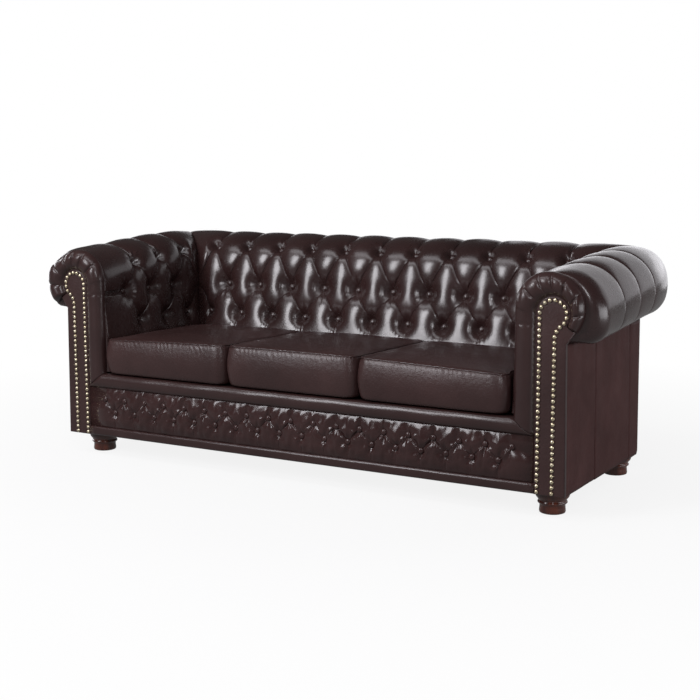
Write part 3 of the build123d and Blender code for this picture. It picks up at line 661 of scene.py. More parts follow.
def back_half():
    """Columns from the middle of the back to the right mitre."""
    columns = []
    for half in range(2 * COLUMNS):
        for step in ease(HALF_STEPS)[:-1]:
            run = (half + step) * PITCH / 2
            share, side = (1 - step, 1) if half % 2 else (step, -1)
            columns.append(tufted_column(
                (run, CORNER_Y), math.pi / 2, BACK_REACH, BACK_AXIS, run, share, side, ROW_TURN, REAR_CLOSE,
            ))
    return columns + corner_columns(math.pi / 2, -1, BACK_REACH, CORNER_X, ROW_TURN, REAR_CLOSE)


def back_buttons_at():
    """Button places on the back as run along it and height along its line."""
    places = []
    for half in range(-2 * COLUMNS, 2 * COLUMNS + 1):
        heights = [ROW_MID] if half % 2 else [ROW_LOW, BACK_AXIS_Z + ROLL_RADIUS * ROW_TURN]
        places += [(half * PITCH / 2, height) for height in heights]
    return places


def flipped(column):
    """The same column on the left half of the back."""
    x, y = column.spot
    return replace(column, spot=(-x, y), heading=math.pi - column.heading, run=-column.run)


right_half = back_half()
back_columns = [flipped(column) for column in right_half[:0:-1]] + right_half
back_spots = back_buttons_at()
pad_piece("tufted_back", pad_points(back_columns, back_spots), "back_pad")

ARM_HALVES = 5
FRONT_COLUMN_Y = CORNER_Y - ARM_HALVES * PITCH / 2
SHOULDER = 0.060
FRONT_SLIM = 0.014
FRONT_CROWDING = 1.3
SCROLL_CLEAR = 0.002
SPREAD_FROM, SPREAD_OVER = math.radians(48), math.radians(38)
SAG_FADE = math.radians(20)
SKIN_FROM, SKIN_OVER = 0.06, 0.04


def arm_axis(y):
    climb = (y - COVER_Y) / (CORNER_Y - COVER_Y)
    return (0.0, ARM_AXIS_Z + (BACK_AXIS_Z - ARM_AXIS_Z) * climb, ROLL_RADIUS)


def arm_half():
    """Columns of the right arm from the scroll border back to the mitre."""
    columns = []
    scroll_axis = (SCROLL_X - AXIS_X, SCROLL_Z, SCROLL_RADIUS - SCROLL_CLEAR)
    plain_run = FRONT_COLUMN_Y - COVER_Y
    for y in COVER_Y + plain_run * np.linspace(0, 1, FRONT_STEPS)[:-1] ** FRONT_CROWDING:
        part = min(1.0, (y - COVER_Y) / SHOULDER)
        share = math.sqrt(max(0.0, 1 - (1 - part) ** 2))
        axis = tuple(a + (b - a) * share for a, b in zip(scroll_axis, arm_axis(y)))
        reach = SCROLL_RADIUS + (ARM_REACH - SCROLL_RADIUS) * share
        near = (FRONT_COLUMN_Y - y) / plain_run
        columns.append(Column(
            (CORNER_X, y), 0.0, reach, axis, y, ROW_MID - BUTTON_HALF, ROW_MID + BUTTON_HALF,
            row_turn=ARM_ROW_TURN, mid_puff=0.0, front_puff=FACE_PUFF * share, roll_puff=ROLL_PUFF * share,
            low_puff=(FACE_PUFF - FRONT_SLIM * near) * share + TAIL_LIFT * (1 - share),
        ))
    for half in range(ARM_HALVES):
        for step in ease(HALF_STEPS)[:-1]:
            y = FRONT_COLUMN_Y + (half + step) * PITCH / 2
            share, side = (step, -1) if half % 2 else (1 - step, 1)
            columns.append(tufted_column(
                (CORNER_X, y), 0.0, ARM_REACH, arm_axis(y), y, share, side, ARM_ROW_TURN, SIDE_CLOSE,
            ))
    return columns + corner_columns(0.0, 1, ARM_REACH, CORNER_Y, ARM_ROW_TURN, SIDE_CLOSE)


def arm_buttons_at():
    """Button places on an arm as run along it and height along its line."""
    places = []
    for half in range(ARM_HALVES + 1):
        y = FRONT_COLUMN_Y + half * PITCH / 2
        top = arm_axis(y)[1] + ROLL_RADIUS * ARM_ROW_TURN
        places += [(y, height) for height in ([ROW_LOW, top] if half % 2 else [ROW_MID])]
    return places


def scroll_spread(turn, spread):
    """Radius of the scroll's outer edge, which sags outward by the spread on its far side."""
    share = np.clip((SPREAD_FROM - turn) / SPREAD_OVER, 0, 1)
    return SCROLL_RADIUS + spread * share * share * (3 - 2 * share)


def sagged(grid, spread):
    """Arm points with the front of the roll spread out to meet a sagging scroll."""
    grid = grid.copy()
    out, up = grid[..., 0] - SCROLL_X, grid[..., 2] - SCROLL_Z
    turn, reach = np.arctan2(up, out), np.hypot(out, up)
    part = np.clip((grid[..., 1] - COVER_Y) / SHOULDER, 0, 1)
    near = 1 - np.sqrt(1 - (1 - part) ** 2)
    under = 1 - np.clip((SCROLL_END - turn) / SAG_FADE, 0, 1)
    skin = np.clip((reach - SKIN_FROM) / SKIN_OVER, 0, 1)
    move = (scroll_spread(turn, spread) - SCROLL_RADIUS) * near * under * skin
    grid[..., 0] += move * np.cos(turn)
    grid[..., 2] += move * np.sin(turn)
    return grid


arm_columns = arm_half()
arm_spots = arm_buttons_at()
arm_grid = pad_points(arm_columns, arm_spots)
pad_piece("tufted_arm_right", sagged(arm_grid, SPREAD_RIGHT), "arm_pad_right")
pad_piece("tufted_arm_left", mirror_points(sagged(arm_grid, SPREAD_LEFT)), "arm_pad_left")


# covered buttons and nail heads


def lathe(profile, sides):
    """Points and faces of a turned form; the profile is radius and height from the rim to the top."""
    turns = [2 * math.pi * side / sides for side in range(sides)]
    rings = [[(r * math.cos(turn), r * math.sin(turn), height) for turn in turns] for r, height in profile]
    return capped_rings(np.array(rings))


def scatter(name, form, places, material, node, slot):
    """One piece of a small form repeated at places, each a point and the way it faces."""
    points, faces = form
    all_points, all_faces = [], []
    for spot, facing in places:
        turn = np.array(Vector(facing).to_track_quat("Z", "Y").to_matrix())
        start = len(all_points)
        all_points.extend(points @ turn.T + np.array(spot))
        all_faces.extend(tuple(start + corner for corner in face) for face in faces)
    make_piece(name, (all_points, all_faces), material, slot=slot, stands_for=[node])


def on_pad(columns, run, height):
    """Point of a button on a pad and the way it faces."""
    column = min(columns, key=lambda c: abs(c.run - run))
    axis_out, axis_z, radius = column.axis
    out, level, facing = valley_line(column.reach, axis_out, axis_z, radius, np.array([height]))
    out = out + BUTTON_DEEP * np.cos(facing)
    level = level - BUTTON_DEEP * np.sin(facing)
    stand = corner_stretch(out, column.bend)[0]
    flat = (math.cos(column.heading), math.sin(column.heading))
    spot = (column.spot[0] + stand * flat[0], column.spot[1] + stand * flat[1], level[0])
    return spot, (-math.cos(facing[0]) * flat[0], -math.cos(facing[0]) * flat[1], math.sin(facing[0]))


def flip(place):
    spot, facing = place
    return (-spot[0], spot[1], spot[2]), (-facing[0], facing[1], facing[2])


def scatter_pair(name, form, right_places, material, nodes, slot):
    """Small forms on the right of the sofa and their mirror images on the left."""
    scatter(f"{name}_right", form, right_places, material, f"{nodes}_right", slot)
    scatter(f"{name}_left", form, [flip(place) for place in right_places], material, f"{nodes}_left", slot)


BUTTON_DEEP = BUTTON_SINK - 0.004
BUTTON_FORM = lathe(
    [(0.0060, -0.006), (0.0092, -0.004), (0.0102, -0.001), (0.0098, 0.0018), (0.0078, 0.0042),
     (0.0045, 0.0055), (0.0015, 0.0059)],
    20,
)
back_places = [on_pad(back_columns, run, height) for run, height in back_spots]
arm_places = [on_pad(arm_columns, run, height) for run, height in arm_spots]
scatter("back_button_covers", BUTTON_FORM, back_places, tufted_leather, "back_buttons", "leather")
scatter_pair("arm_button_covers", BUTTON_FORM, arm_places, tufted_leather, "arm_buttons", "leather")

NAIL_FORM = lathe(
    [(0.0062, -0.0005), (0.0064, 0.0008), (0.0056, 0.0028), (0.0037, 0.0044), (0.0013, 0.0051)],
    16,
)
NAIL_BULB = BULB_RADIUS - 0.010
NAIL_PITCH = 0.0168
NAIL_STAND = 0.001
NAIL_LOW = 0.082
NAIL_OUTER_X = BULB_X + 0.005
NAIL_NECK_Z = BULB_Z - 0.070
NAIL_BEND_Z = BULB_Z - 0.046


def nail_line():
    """Closely spaced points up the facing, round the bulb and down again."""
    points = [(BULB_X - NAIL_BULB, z) for z in np.linspace(NAIL_LOW, BULB_Z, 400)]
    for turn in np.linspace(math.pi, SCROLL_END, 300)[1:]:
        points.append((BULB_X + NAIL_BULB * math.cos(turn), BULB_Z + NAIL_BULB * math.sin(turn)))
    start = np.array(points[-1])
    control, neck = np.array((NAIL_OUTER_X, NAIL_BEND_Z)), np.array((NAIL_OUTER_X, NAIL_NECK_Z))
    for t in np.linspace(0, 1, 100)[1:]:
        points.append(tuple((1 - t) ** 2 * start + 2 * t * (1 - t) * control + t * t * neck))
    points += [(NAIL_OUTER_X, z) for z in np.linspace(NAIL_NECK_Z, NAIL_LOW, 400)[1:]]
    return np.array(points)


def even_points(line, pitch):
    lengths = run_lengths(line)
    marks = np.linspace(0, lengths[-1], round(lengths[-1] / pitch) + 1)
    return np.stack([np.interp(marks, lengths, line[:, 0]), np.interp(marks, lengths, line[:, 1])], axis=1)


nail_spots = [((x, FACE_Y - NAIL_STAND, z), (0, -1, 0)) for x, z in even_points(nail_line(), NAIL_PITCH)]
scatter_pair("nail_heads", NAIL_FORM, nail_spots, brass_finish, "nails", "nail_brass")


# scroll borders and facings

BORDER_STEPS = 22
BORDER_DEPTH = 0.031
FACING_ROUND = 0.0035
BORDER_CREASE, CREASE_FADE = 0.004, 0.0022
BORDER_LIP, BORDER_TUCK = 0.002, 0.001
FOLDS = (-8, 25, 58, 84, 110, 142)
FOLD_STOPS = [math.degrees(SCROLL_END), *FOLDS, 180]
FOLD_SWELL = 0.0035
FOLD_DEPTH = 0.0070
FOLD_SLOPES = (0.0050, 0.0018)
END_TURN = 9


def bulb_point(turn):
    return (BULB_X + BULB_RADIUS * math.cos(turn), BULB_Z + BULB_RADIUS * math.sin(turn))


def border_path(spread):
    """Inner and outer edge points of the band, from its mitre at the seat up and round to its end."""
    rows = []
    for z in np.linspace(0, 1, 60)[:-1]:
        inner = (BULB_LEFT, BORDER_LOW + (BULB_Z - BORDER_LOW) * z)
        outer = (SCROLL_LEFT, SEAT_TOP + (SCROLL_Z - SEAT_TOP) * z)
        rows.append((inner, outer, None))
    for turn in np.linspace(math.pi, SCROLL_END, 130):
        wide = scroll_spread(turn, spread)
        outer = (SCROLL_X + wide * math.cos(turn), SCROLL_Z + wide * math.sin(turn))
        rows.append((bulb_point(turn), outer, math.degrees(turn)))
    return rows


def folded(front, across, dome, turn):
    """Front of the band at a turn of the scroll, swelling between sharp folds and closing at its end."""
    reach = np.clip((across - 0.10) / 0.35, 0, 1)
    place = min(np.searchsorted(FOLD_STOPS, turn, side="right") - 1, len(FOLD_STOPS) - 2)
    share = (turn - FOLD_STOPS[place]) / (FOLD_STOPS[place + 1] - FOLD_STOPS[place])
    front = front - FOLD_SWELL * (4 * share * (1 - share)) ** 0.5 * reach * dome
    for fold in FOLDS:
        gap = math.radians(turn - fold) * (BULB_RADIUS + (SCROLL_RADIUS - BULB_RADIUS) * across)
        depth = np.where(gap > 0, np.exp(-gap / FOLD_SLOPES[0]), np.exp(gap / FOLD_SLOPES[1]))
        front = front + FOLD_DEPTH * depth * reach * dome
    finish = np.clip((turn - math.degrees(SCROLL_END)) / END_TURN, 0, 1)
    return COVER_Y + (front - COVER_Y) * (1 - (1 - finish) ** 2) ** 0.5


def border_points(spread):
    rings = []
    across = ease(BORDER_STEPS)
    dome = np.clip(1 - np.abs(2 * across - 1) ** 2.4, 0, 1) ** 0.55
    for inner, outer, turn in border_path(spread):
        inner, outer = np.array(inner), np.array(outer)
        front = COVER_Y - BORDER_DEPTH * dome
        front = np.where(across < 0.5, np.minimum(front, FACE_Y + BORDER_LIP), front)
        if turn is None:
            level = inner[1] + (outer[1] - inner[1]) * across
            front = front + BORDER_CREASE * np.exp(-np.abs(level - ROW_MID) / CREASE_FADE) * dome
        else:
            front = folded(front, across, dome, turn)
        spots = inner[None, :] + (outer - inner)[None, :] * across[:, None]
        ring = np.stack([spots[:, 0], front, spots[:, 1]], axis=1)
        back = ring[[-1, 0]].copy()
        back[:, 1] = COVER_Y + BORDER_TUCK
        rings.append(np.concatenate([ring, back]))
    return np.array(rings)


def padded_strip(name, rings, material, node):
    piece = make_piece(name, capped_rings(rings), material, stands_for=[node])


left_border = mirror_points(border_points(SPREAD_LEFT))
padded_strip("scroll_border_right", border_points(SPREAD_RIGHT), band_leather, "arm_border_right")
padded_strip("scroll_border_left", left_border, band_leather, "arm_border_left")


def facing_outline():
    """Outline of the flat facing, from the inner foot round the bulb to the outer foot."""
    points = [(BULB_LEFT, COVER_LOW)]
    points += [bulb_point(turn) for turn in np.linspace(math.pi, SCROLL_END, 40)]
    end_x = SCROLL_X + SCROLL_RADIUS * math.cos(SCROLL_END)
    points.append((end_x, SCROLL_Z + SCROLL_RADIUS * math.sin(SCROLL_END)))
    return points + [(SIDE_X + SIDE_FLARE, UNDER_ROLL_Z), (SIDE_X, COVER_LOW)]


def facing_piece(name, side, node):
    """Flat padded board with its front edge rounded over."""
    form = bmesh.new()
    corners = [form.verts.new((side * x, COVER_Y, z)) for x, z in facing_outline()]
    base = form.faces.new(corners)
    grown = bmesh.ops.extrude_face_region(form, geom=[base])["geom"]
    moved = [item for item in grown if isinstance(item, bmesh.types.BMVert)]
    bmesh.ops.translate(form, verts=moved, vec=(0, FACE_Y - COVER_Y, 0))
    rim = [e for e in form.edges if all(v.co.y < FACE_Y + 1e-5 for v in e.verts)]
    bmesh.ops.bevel(form, geom=rim, offset=FACING_ROUND, segments=3, profile=0.6, affect="EDGES")
    board = add_object(name, settle(form, bpy.data.meshes.new(name)))
    dress(board, seat_leather, stands_for=[node])


facing_piece("scroll_facing_right", 1, "arm_facing_right")
facing_piece("scroll_facing_left", -1, "arm_facing_left")


# front of the seat

BAND_BACK_Y = -0.352
BAND_STEP_Z = 0.262
PANEL_ROWS, PANEL_STEPS = 14, 10
PANEL_STAND = 0.0105
PANEL_PUFF = 0.0115
PANEL_EDGE_PUFF = 0.002
PANEL_HEM_LOW, PANEL_HEM_UP = 0.028, 0.041
PANEL_FOLDS = (5, 8)
PANEL_FOLD_DEPTH, PANEL_FOLD_RING, PANEL_FOLD_WIDTH = 0.0044, 0.020, 0.011
PANEL_PULL = 0.05
PANEL_HOLLOW = 0.017
PANEL_SINK, PANEL_PIT = 0.002, 0.008
PANEL_HEM = 0.02
WRINKLE, WRINKLE_SPAN = 0.0016, 0.034
WRINKLE_STRETCH = np.array([1.3, 1, 0.8])
FINE_WRINKLE, FINE_WRINKLE_SPAN = 0.0007, 0.017
PANEL_BUTTON_FORM = lathe(
    [(0.0062, -0.003), (0.0096, -0.001), (0.0103, 0.0022), (0.0090, 0.0050), (0.0052, 0.0070),
     (0.0017, 0.0076)],
    18,
)


def domed_strip(low, high, back, stand, swell, waver, waves, power, sections, steps):
    """Rings of a strip across the front between two edges, each a half width and a height."""
    rows = []
    for place in np.linspace(-1, 1, sections):
        ring = []
        for part in ease(steps):
            dome = max(0.0, 1 - abs(2 * part - 1) ** power) ** 0.5
            y = COVER_Y - stand - (swell + waver * math.sin(place * waves)) * dome
            edge, z = (a + (b - a) * part for a, b in zip(low, high))
            ring.append((place * edge, y, z))
        rows.append(ring + [(place * edge, y, z) for edge, y, z in back])
    return np.array(rows)


def seat_border():
    """Padded band under the cushions, cut to a mitre at each end."""
    back = [
        (SCROLL_LEFT, BAND_BACK_Y, SEAT_TOP), (SCROLL_LEFT, BAND_BACK_Y, BAND_STEP_Z),
        (BULB_LEFT, COVER_Y, BAND_STEP_Z), (BULB_LEFT, COVER_Y, BORDER_LOW),
    ]
    low, high = (BULB_LEFT, BORDER_LOW), (SCROLL_LEFT, SEAT_TOP)
    rings = domed_strip(
        low, high, back, stand=0.012, swell=0.016, waver=0.0012, waves=23.0, power=2.3,
        sections=120, steps=18,
    )
    padded_strip("seat_front_band", rings, band_leather, "front_border")


def base_band():
    """Plain strip along the bottom of the front."""
    back = [(BULB_LEFT, COVER_Y, PANEL_LOW), (BULB_LEFT, COVER_Y, COVER_LOW)]
    low, high = (BULB_LEFT, COVER_LOW), (BULB_LEFT, PANEL_LOW)
    rings = domed_strip(
        low, high, back, stand=0.008, swell=0.0095, waver=0.0005, waves=31.0, power=5,
        sections=90, steps=12,
    )
    make_piece("front_base_band", capped_rings(rings), band_leather, stands_for=["base_strip"])


def panel_columns():
    """Places across the panel, how near each is to a lower-row button, and its puff."""
    columns = [(-BULB_LEFT, 0.5, PANEL_EDGE_PUFF)]
    halves = 2 * PANEL_COLUMNS
    for half in range(-halves, halves):
        for step in ease(PANEL_STEPS)[:-1]:
            share = 1 - step if half % 2 else step
            columns.append(((half + step) * PANEL_PITCH / 2, share, PANEL_PUFF))
    columns.append((halves * PANEL_PITCH / 2, 0.0, PANEL_PUFF))
    return columns + [(BULB_LEFT, 0.5, PANEL_EDGE_PUFF)]


def panel_lift(share, puff, low_run, up_run):
    """Lift of the panel below and above its zigzag pleat."""
    height = PANEL_UPPER_ROW - PANEL_LOWER_ROW
    low = puff * plump(inside(share, np.clip((PANEL_UPPER_ROW - low_run) / height, 0, 1) - 1))
    up = puff * plump(inside(1 - share, np.clip((up_run - PANEL_LOWER_ROW) / height, 0, 1) - 1))
    low *= np.clip((low_run - PANEL_LOW) / PANEL_HEM_LOW, 0, 1) ** 0.7
    up *= np.clip((BORDER_LOW - up_run) / PANEL_HEM_UP, 0, 1) ** 0.7
    return np.concatenate([low, up])


def front_panel():
    """Tufted panel with two rows of small buttons and a zigzag pleat between them."""
    spots = []
    for half in range(-2 * PANEL_COLUMNS, 2 * PANEL_COLUMNS + 1):
        spots.append((half * PANEL_PITCH / 2, PANEL_LOWER_ROW if half % 2 else PANEL_UPPER_ROW))
    gather_turns = chance.uniform(0, 2 * math.pi, len(spots))
    rows = []
    for x, share, puff in panel_columns():
        crease = PANEL_UPPER_ROW - share * (PANEL_UPPER_ROW - PANEL_LOWER_ROW)
        low_run = PANEL_LOW + (crease - PANEL_LOW) * ease(PANEL_ROWS)[:-1]
        up_run = crease + (BORDER_LOW - crease) * ease(PANEL_ROWS)
        z = np.concatenate([low_run, up_run])
        lift = panel_lift(share, puff, low_run, up_run)
        for (spot, level), turn in zip(spots, gather_turns):
            if abs(x - spot) > PANEL_PULL:
                continue
            reach = np.hypot(x - spot, z - level)
            angle = np.arctan2(z - level, x - spot)
            fan = 1 + 0.8 * np.clip(-np.sin(angle), 0, 1)
            folds = PANEL_FOLD_DEPTH * star(angle, turn, *PANEL_FOLDS) * fan
            lift = lift + folds * ring_fade(reach, PANEL_FOLD_RING, PANEL_FOLD_WIDTH)
            lift = lift * (1 - 0.9 * ring_fade(reach, 0, PANEL_HOLLOW))
            lift = lift - PANEL_SINK * ring_fade(reach, 0, PANEL_PIT)
        ring = np.stack([np.full(len(z), x), COVER_Y - PANEL_STAND - lift, z], axis=1)
        back = np.array([(x, COVER_Y, BORDER_LOW), (x, COVER_Y, PANEL_LOW)])
        rows.append(np.concatenate([ring, back]))
    rings = np.array(rows)
    front = rings[:, :-2].reshape(-1, 3)
    hem = np.clip(np.minimum(front[:, 2] - PANEL_LOW, BORDER_LOW - front[:, 2]) / PANEL_HEM, 0, 1)
    wrinkle = WRINKLE * ripple(front * WRINKLE_STRETCH, WRINKLE_SPAN, 51)
    wrinkle += FINE_WRINKLE * ripple(front, FINE_WRINKLE_SPAN, 52)
    rings[:, :-2, 1] -= (wrinkle * hem).reshape(len(rings), -1)
    padded_strip("tufted_front_panel", rings, panel_leather, "front_panel")
    return [((x, COVER_Y - PANEL_STAND, z), (0, -1, 0)) for x, z in spots]


seat_border()
panel_places = front_panel()
scatter("panel_button_covers", PANEL_BUTTON_FORM, panel_places, panel_leather, "front_buttons", "leather")
base_band()


# outer covers

COVER_ROWS = 40
COVER_THICK = 0.004
COVER_SLACK, COVER_SLACK_SPAN = 0.0009, 0.19
ROLL_SLACK, ROLL_SLACK_SPAN, ROLL_SLACK_FADE = 0.0016, 0.055, 0.06
SEAM_TUCK, SEAM_FADE = 0.0022, 0.0022
HEM_TUCK, HEM_FADE = 0.002, 0.003


def outer_line(side_lean, rear_lean):
    """Points round the outside from the right seam over the back to the left seam."""
    turn_x, turn_y = SIDE_X - REAR_CORNER, REAR_Y - REAR_CORNER
    points = [(SIDE_X + side_lean, y) for y in np.linspace(CORNER_SEAM, turn_y, 12)[:-1]]
    for turn in np.linspace(0, math.pi / 2, 16):
        x = turn_x + (REAR_CORNER + side_lean) * math.cos(turn)
        points.append((x, turn_y + (REAR_CORNER + rear_lean) * math.sin(turn)))
    left = [(-x, y) for x, y in points[::-1]]
    across = [(x, REAR_Y + rear_lean) for x in np.linspace(turn_x, -turn_x, 90)[1:-1]]
    return np.array(points + across + left)


def cover_grid(name, lines, outward, nodes, seed):
    """Leather panel hung between two outlines, turned in at its seams, with faint upright slack."""
    low, high = lines
    count = len(low)
    rows = []
    for level in np.linspace(0, 1, COVER_ROWS):
        line = low + (high - low) * level
        z = np.full(count, COVER_LOW + (UNDER_ROLL_Z - COVER_LOW) * level)
        rows.append(np.stack([line[:, 0], line[:, 1], z], axis=1))
    flat = np.array(rows).reshape(-1, 3)
    slack = ripple(flat * np.array([1, 1, 0.22]), COVER_SLACK_SPAN, seed) * COVER_SLACK
    under_roll = np.exp(-(UNDER_ROLL_Z - flat[:, 2]) / ROLL_SLACK_FADE)
    slack += ripple(flat * np.array([1, 1, 0.15]), ROLL_SLACK_SPAN, seed + 30) * ROLL_SLACK * under_roll
    steps = run_lengths(low)
    edge = np.minimum(steps, steps[-1] - steps)
    tuck = -SEAM_TUCK * np.exp(-edge / SEAM_FADE)
    hem = -HEM_TUCK * np.exp(-(flat[:, 2] - COVER_LOW) / HEM_FADE)
    shift = slack + np.tile(tuck, COVER_ROWS) + hem
    outward = np.tile(outward, (COVER_ROWS, 1))
    outer, inner = flat + outward * shift[:, None], flat - outward * COVER_THICK
    make_piece(name, closed_sheet(outer, inner, COVER_ROWS, count), cover_leather, stands_for=nodes)


def side_panel(name, side, front, back, node, seed):
    ys = front + (back - front) * ease(44)
    low = np.stack([np.full(len(ys), side * SIDE_X), ys], axis=1)
    high = low + np.array([side * SIDE_FLARE, 0])
    outward = np.tile([side, 0.0, 0.0], (len(ys), 1))
    cover_grid(name, (low, high), outward, [node], seed)


for label, side in (("right", 1), ("left", -1)):
    side_panel(f"side_panel_front_{label}", side, COVER_Y, SIDE_SEAM, f"side_cover_front_{label}", 21)
    side_panel(f"side_panel_rear_{label}", side, SIDE_SEAM, CORNER_SEAM, f"side_cover_rear_{label}", 22)

rear_low, rear_high = outer_line(0.0, 0.0), outer_line(SIDE_FLARE, REAR_LEAN)
tangent = np.gradient(rear_low, axis=0)
rear_out = unit(np.stack([tangent[:, 1], -tangent[:, 0], np.zeros(len(tangent))], axis=1))
cover_grid("outer_back_panel", (rear_low, rear_high), rear_out, ["outer_back"], 23)


# seat cushions

CUSHION_GAP = 0.003
ARM_CLEAR, BACK_CLEAR = 0.0205, 0.013
CUSHION_WIDTH = (2 * (AXIS_X - ARM_REACH - ARM_CLEAR) - 2 * CUSHION_GAP) / 3
CUSHION_FRONT = -0.415
CUSHION_BACK = AXIS_Y - BACK_REACH - BACK_CLEAR
CUSHION_EDGE = 0.420
CUSHION_CORNER = 0.038
CUSHION_INSET = 0.004
CUSHION_LIFT = 0.005
CUSHION_CROWN = 0.014
GRID = 52
BAND_ROWS = 14
BAND_SWELL = 0.011
CLOTH_SETTINGS = {
    "quality": 6,
    "mass": 0.4,
    "tension_stiffness": 18,
    "compression_stiffness": 18,
    "shear_stiffness": 6,
    "bending_stiffness": 4,
    "use_pressure": True,
    "uniform_pressure_force": 4,
    "vertex_group_mass": "seam",
    "pin_stiffness": 0.6,
}
CLOTH_FRAMES = 20
CLOTH_CAP = 0.014
SEAM_SINK = 0.0026
FRONT_FILL = 0.018
FRONT_BULGE = 0.013
SEAT_ARCH = 0.018
ARCH_END = 0.760
WELT_RADIUS = 0.0024
WELT_SIDES = 10
WELT_LIFT = 0.0006
WELT_UNEVEN, WELT_SPAN = 0.28, 0.020
TOP_WANDER, TOP_WANDER_SPAN, TOP_MARGIN = 0.0014, 0.21, 0.002
FILL_FROM, FILL_OVER = 0.075, 0.05
PUCKER_PITCH, PUCKER_DEPTH, PUCKER_FADE = 0.018, 0.0017, 0.013


def rounded_edge(a, b, half_x, half_y, corner):
    """Point on a rounded rectangle for a point on the rim of the unit square."""
    x, y = a * half_x, b * half_y
    dx, dy = abs(x) - (half_x - corner), abs(y) - (half_y - corner)
    if dx > 0 and dy > 0:
        turn = math.atan2(dy, dx)
        x = math.copysign(half_x - corner + corner * math.cos(turn), x)
        y = math.copysign(half_y - corner + corner * math.sin(turn), y)
    return x, y


def cushion_mesh(name, middle_x):
    """Box cushion of a top, a band and a bottom panel, with the seam loops on mesh edges."""
    half_x = CUSHION_WIDTH / 2 - CUSHION_INSET
    half_y = (CUSHION_BACK - CUSHION_FRONT) / 2 - CUSHION_INSET
    middle_y = (CUSHION_BACK + CUSHION_FRONT) / 2
    form = bmesh.new()
    panels = []
    for level, crown in ((SEAT_TOP + CUSHION_LIFT, 0.0), (CUSHION_EDGE - CUSHION_INSET, CUSHION_CROWN)):
        grid = []
        for i in range(GRID + 1):
            row = []
            for j in range(GRID + 1):
                a, b = 2 * i / GRID - 1, 2 * j / GRID - 1
                size = max(abs(a), abs(b), 1e-9)
                x, y = rounded_edge(a / size, b / size, half_x, half_y, CUSHION_CORNER)
                lift = crown * ((1 - a ** 4) * (1 - b ** 4))
                row.append(form.verts.new((middle_x + x * size, middle_y + y * size, level + lift)))
            grid.append(row)
        for i in range(GRID):
            for j in range(GRID):
                form.faces.new((grid[i][j], grid[i + 1][j], grid[i + 1][j + 1], grid[i][j + 1]))
        rim = [grid[i][0] for i in range(GRID)] + [grid[GRID][j] for j in range(GRID)]
        rim += [grid[i][GRID] for i in range(GRID, 0, -1)] + [grid[0][j] for j in range(GRID, 0, -1)]
        panels.append(rim)
    lower = panels[0]
    for row in range(1, BAND_ROWS + 1):
        share = row / BAND_ROWS
        upper = panels[1] if row == BAND_ROWS else []
        if row < BAND_ROWS:
            for a, b in zip(*panels):
                out = Vector((a.co.x - middle_x, a.co.y - middle_y, 0)).normalized()
                swell = out * BAND_SWELL * math.sin(math.pi * share)
                upper.append(form.verts.new(a.co.lerp(b.co, share) + swell))
        count = len(lower)
        for k in range(count):
            form.faces.new((lower[k], lower[(k + 1) % count], upper[(k + 1) % count], upper[k]))
        lower = upper
    form.verts.index_update()
    seam = [v.index for rim in panels for v in rim]
    return settle(form, bpy.data.meshes.new(name)), seam


def inflate(piece, seam):
    """Blow the cushion up as sewn cloth, held at its seams, and keep the result."""
    rest = points_of(piece.data)
    group = piece.vertex_groups.new(name="seam")
    group.add(seam, 1.0, "REPLACE")
    cloth = piece.modifiers.new("cloth", "CLOTH")
    for key, value in CLOTH_SETTINGS.items():
        setattr(cloth.settings, key, value)
    cloth.settings.effector_weights.gravity = 0
    cloth.collision_settings.use_self_collision = False
    scene = bpy.context.scene
    for step in range(1, CLOTH_FRAMES + 1):
        scene.frame_set(step)
    graph = bpy.context.evaluated_depsgraph_get()
    blown = points_of(piece.evaluated_get(graph).data)
    piece.modifiers.remove(cloth)
    scene.frame_set(1)
    move = blown - rest
    length = np.linalg.norm(move, axis=1)
    return rest + move * np.minimum(1, CLOTH_CAP / np.maximum(length, 1e-9))[:, None]


def fitted(points, place, middle_x):
    """Cushion points kept to their seat, arched over the sofa and filled toward the arm at the front."""
    x, y, z = points.T
    z = z + ripple(points, TOP_WANDER_SPAN, 31 + place) * TOP_WANDER * (z > CUSHION_EDGE - TOP_MARGIN)
    z = np.maximum(z, SEAT_TOP)
    tall = np.clip((z - SEAT_TOP) / (CUSHION_EDGE - SEAT_TOP), 0, 1)
    behind = np.clip((y - CUSHION_FRONT) / (CUSHION_BACK - CUSHION_FRONT), 0, 1)
    z = z + SEAT_ARCH * (1 - (x / ARCH_END) ** 2) * tall * (1 - 0.6 * behind)
    half = CUSHION_WIDTH / 2
    x = np.clip(x, middle_x - half, middle_x + half)
    y = np.clip(y, CUSHION_FRONT - FRONT_BULGE, CUSHION_BACK)
    toward_arm = np.clip(2 * place * (x - middle_x) / half - 1, 0, 1)
    forward = np.clip((CUSHION_FRONT + FILL_FROM - y) / FILL_OVER, 0, 1)
    x = x + place * FRONT_FILL * toward_arm * forward * forward * (3 - 2 * forward)
    return np.stack([x, y, z], axis=1)


def pucker(piece, rim, seed):
    """Refine the cushion and draw up small puckers along its top seam."""
    refine = piece.modifiers.new("refine", "SUBSURF")
    refine.levels = refine.render_levels = 1
    graph = bpy.context.evaluated_depsgraph_get()
    fine = bpy.data.meshes.new_from_object(piece.evaluated_get(graph))
    piece.modifiers.remove(refine)
    piece.data = fine
    points, normals = points_of(fine), normals_of(fine)
    tree = KDTree(len(rim))
    for index in rim:
        tree.insert(points[index], index)
    tree.balance()
    gap = np.array([tree.find(spot)[2] for spot in points])
    along = (points[:, 0] + 1.3 * points[:, 1]) / PUCKER_PITCH
    wave = np.sin(2 * math.pi * along + 2.6 * ripple(points, 0.07, seed))
    size = PUCKER_DEPTH * np.exp(-gap / PUCKER_FADE) * (0.6 + 0.4 * ripple(points, 0.12, seed + 3))
    points += normals * (wave * size)[:, None]
    set_points(fine, points)
    return points[rim], normals[rim]


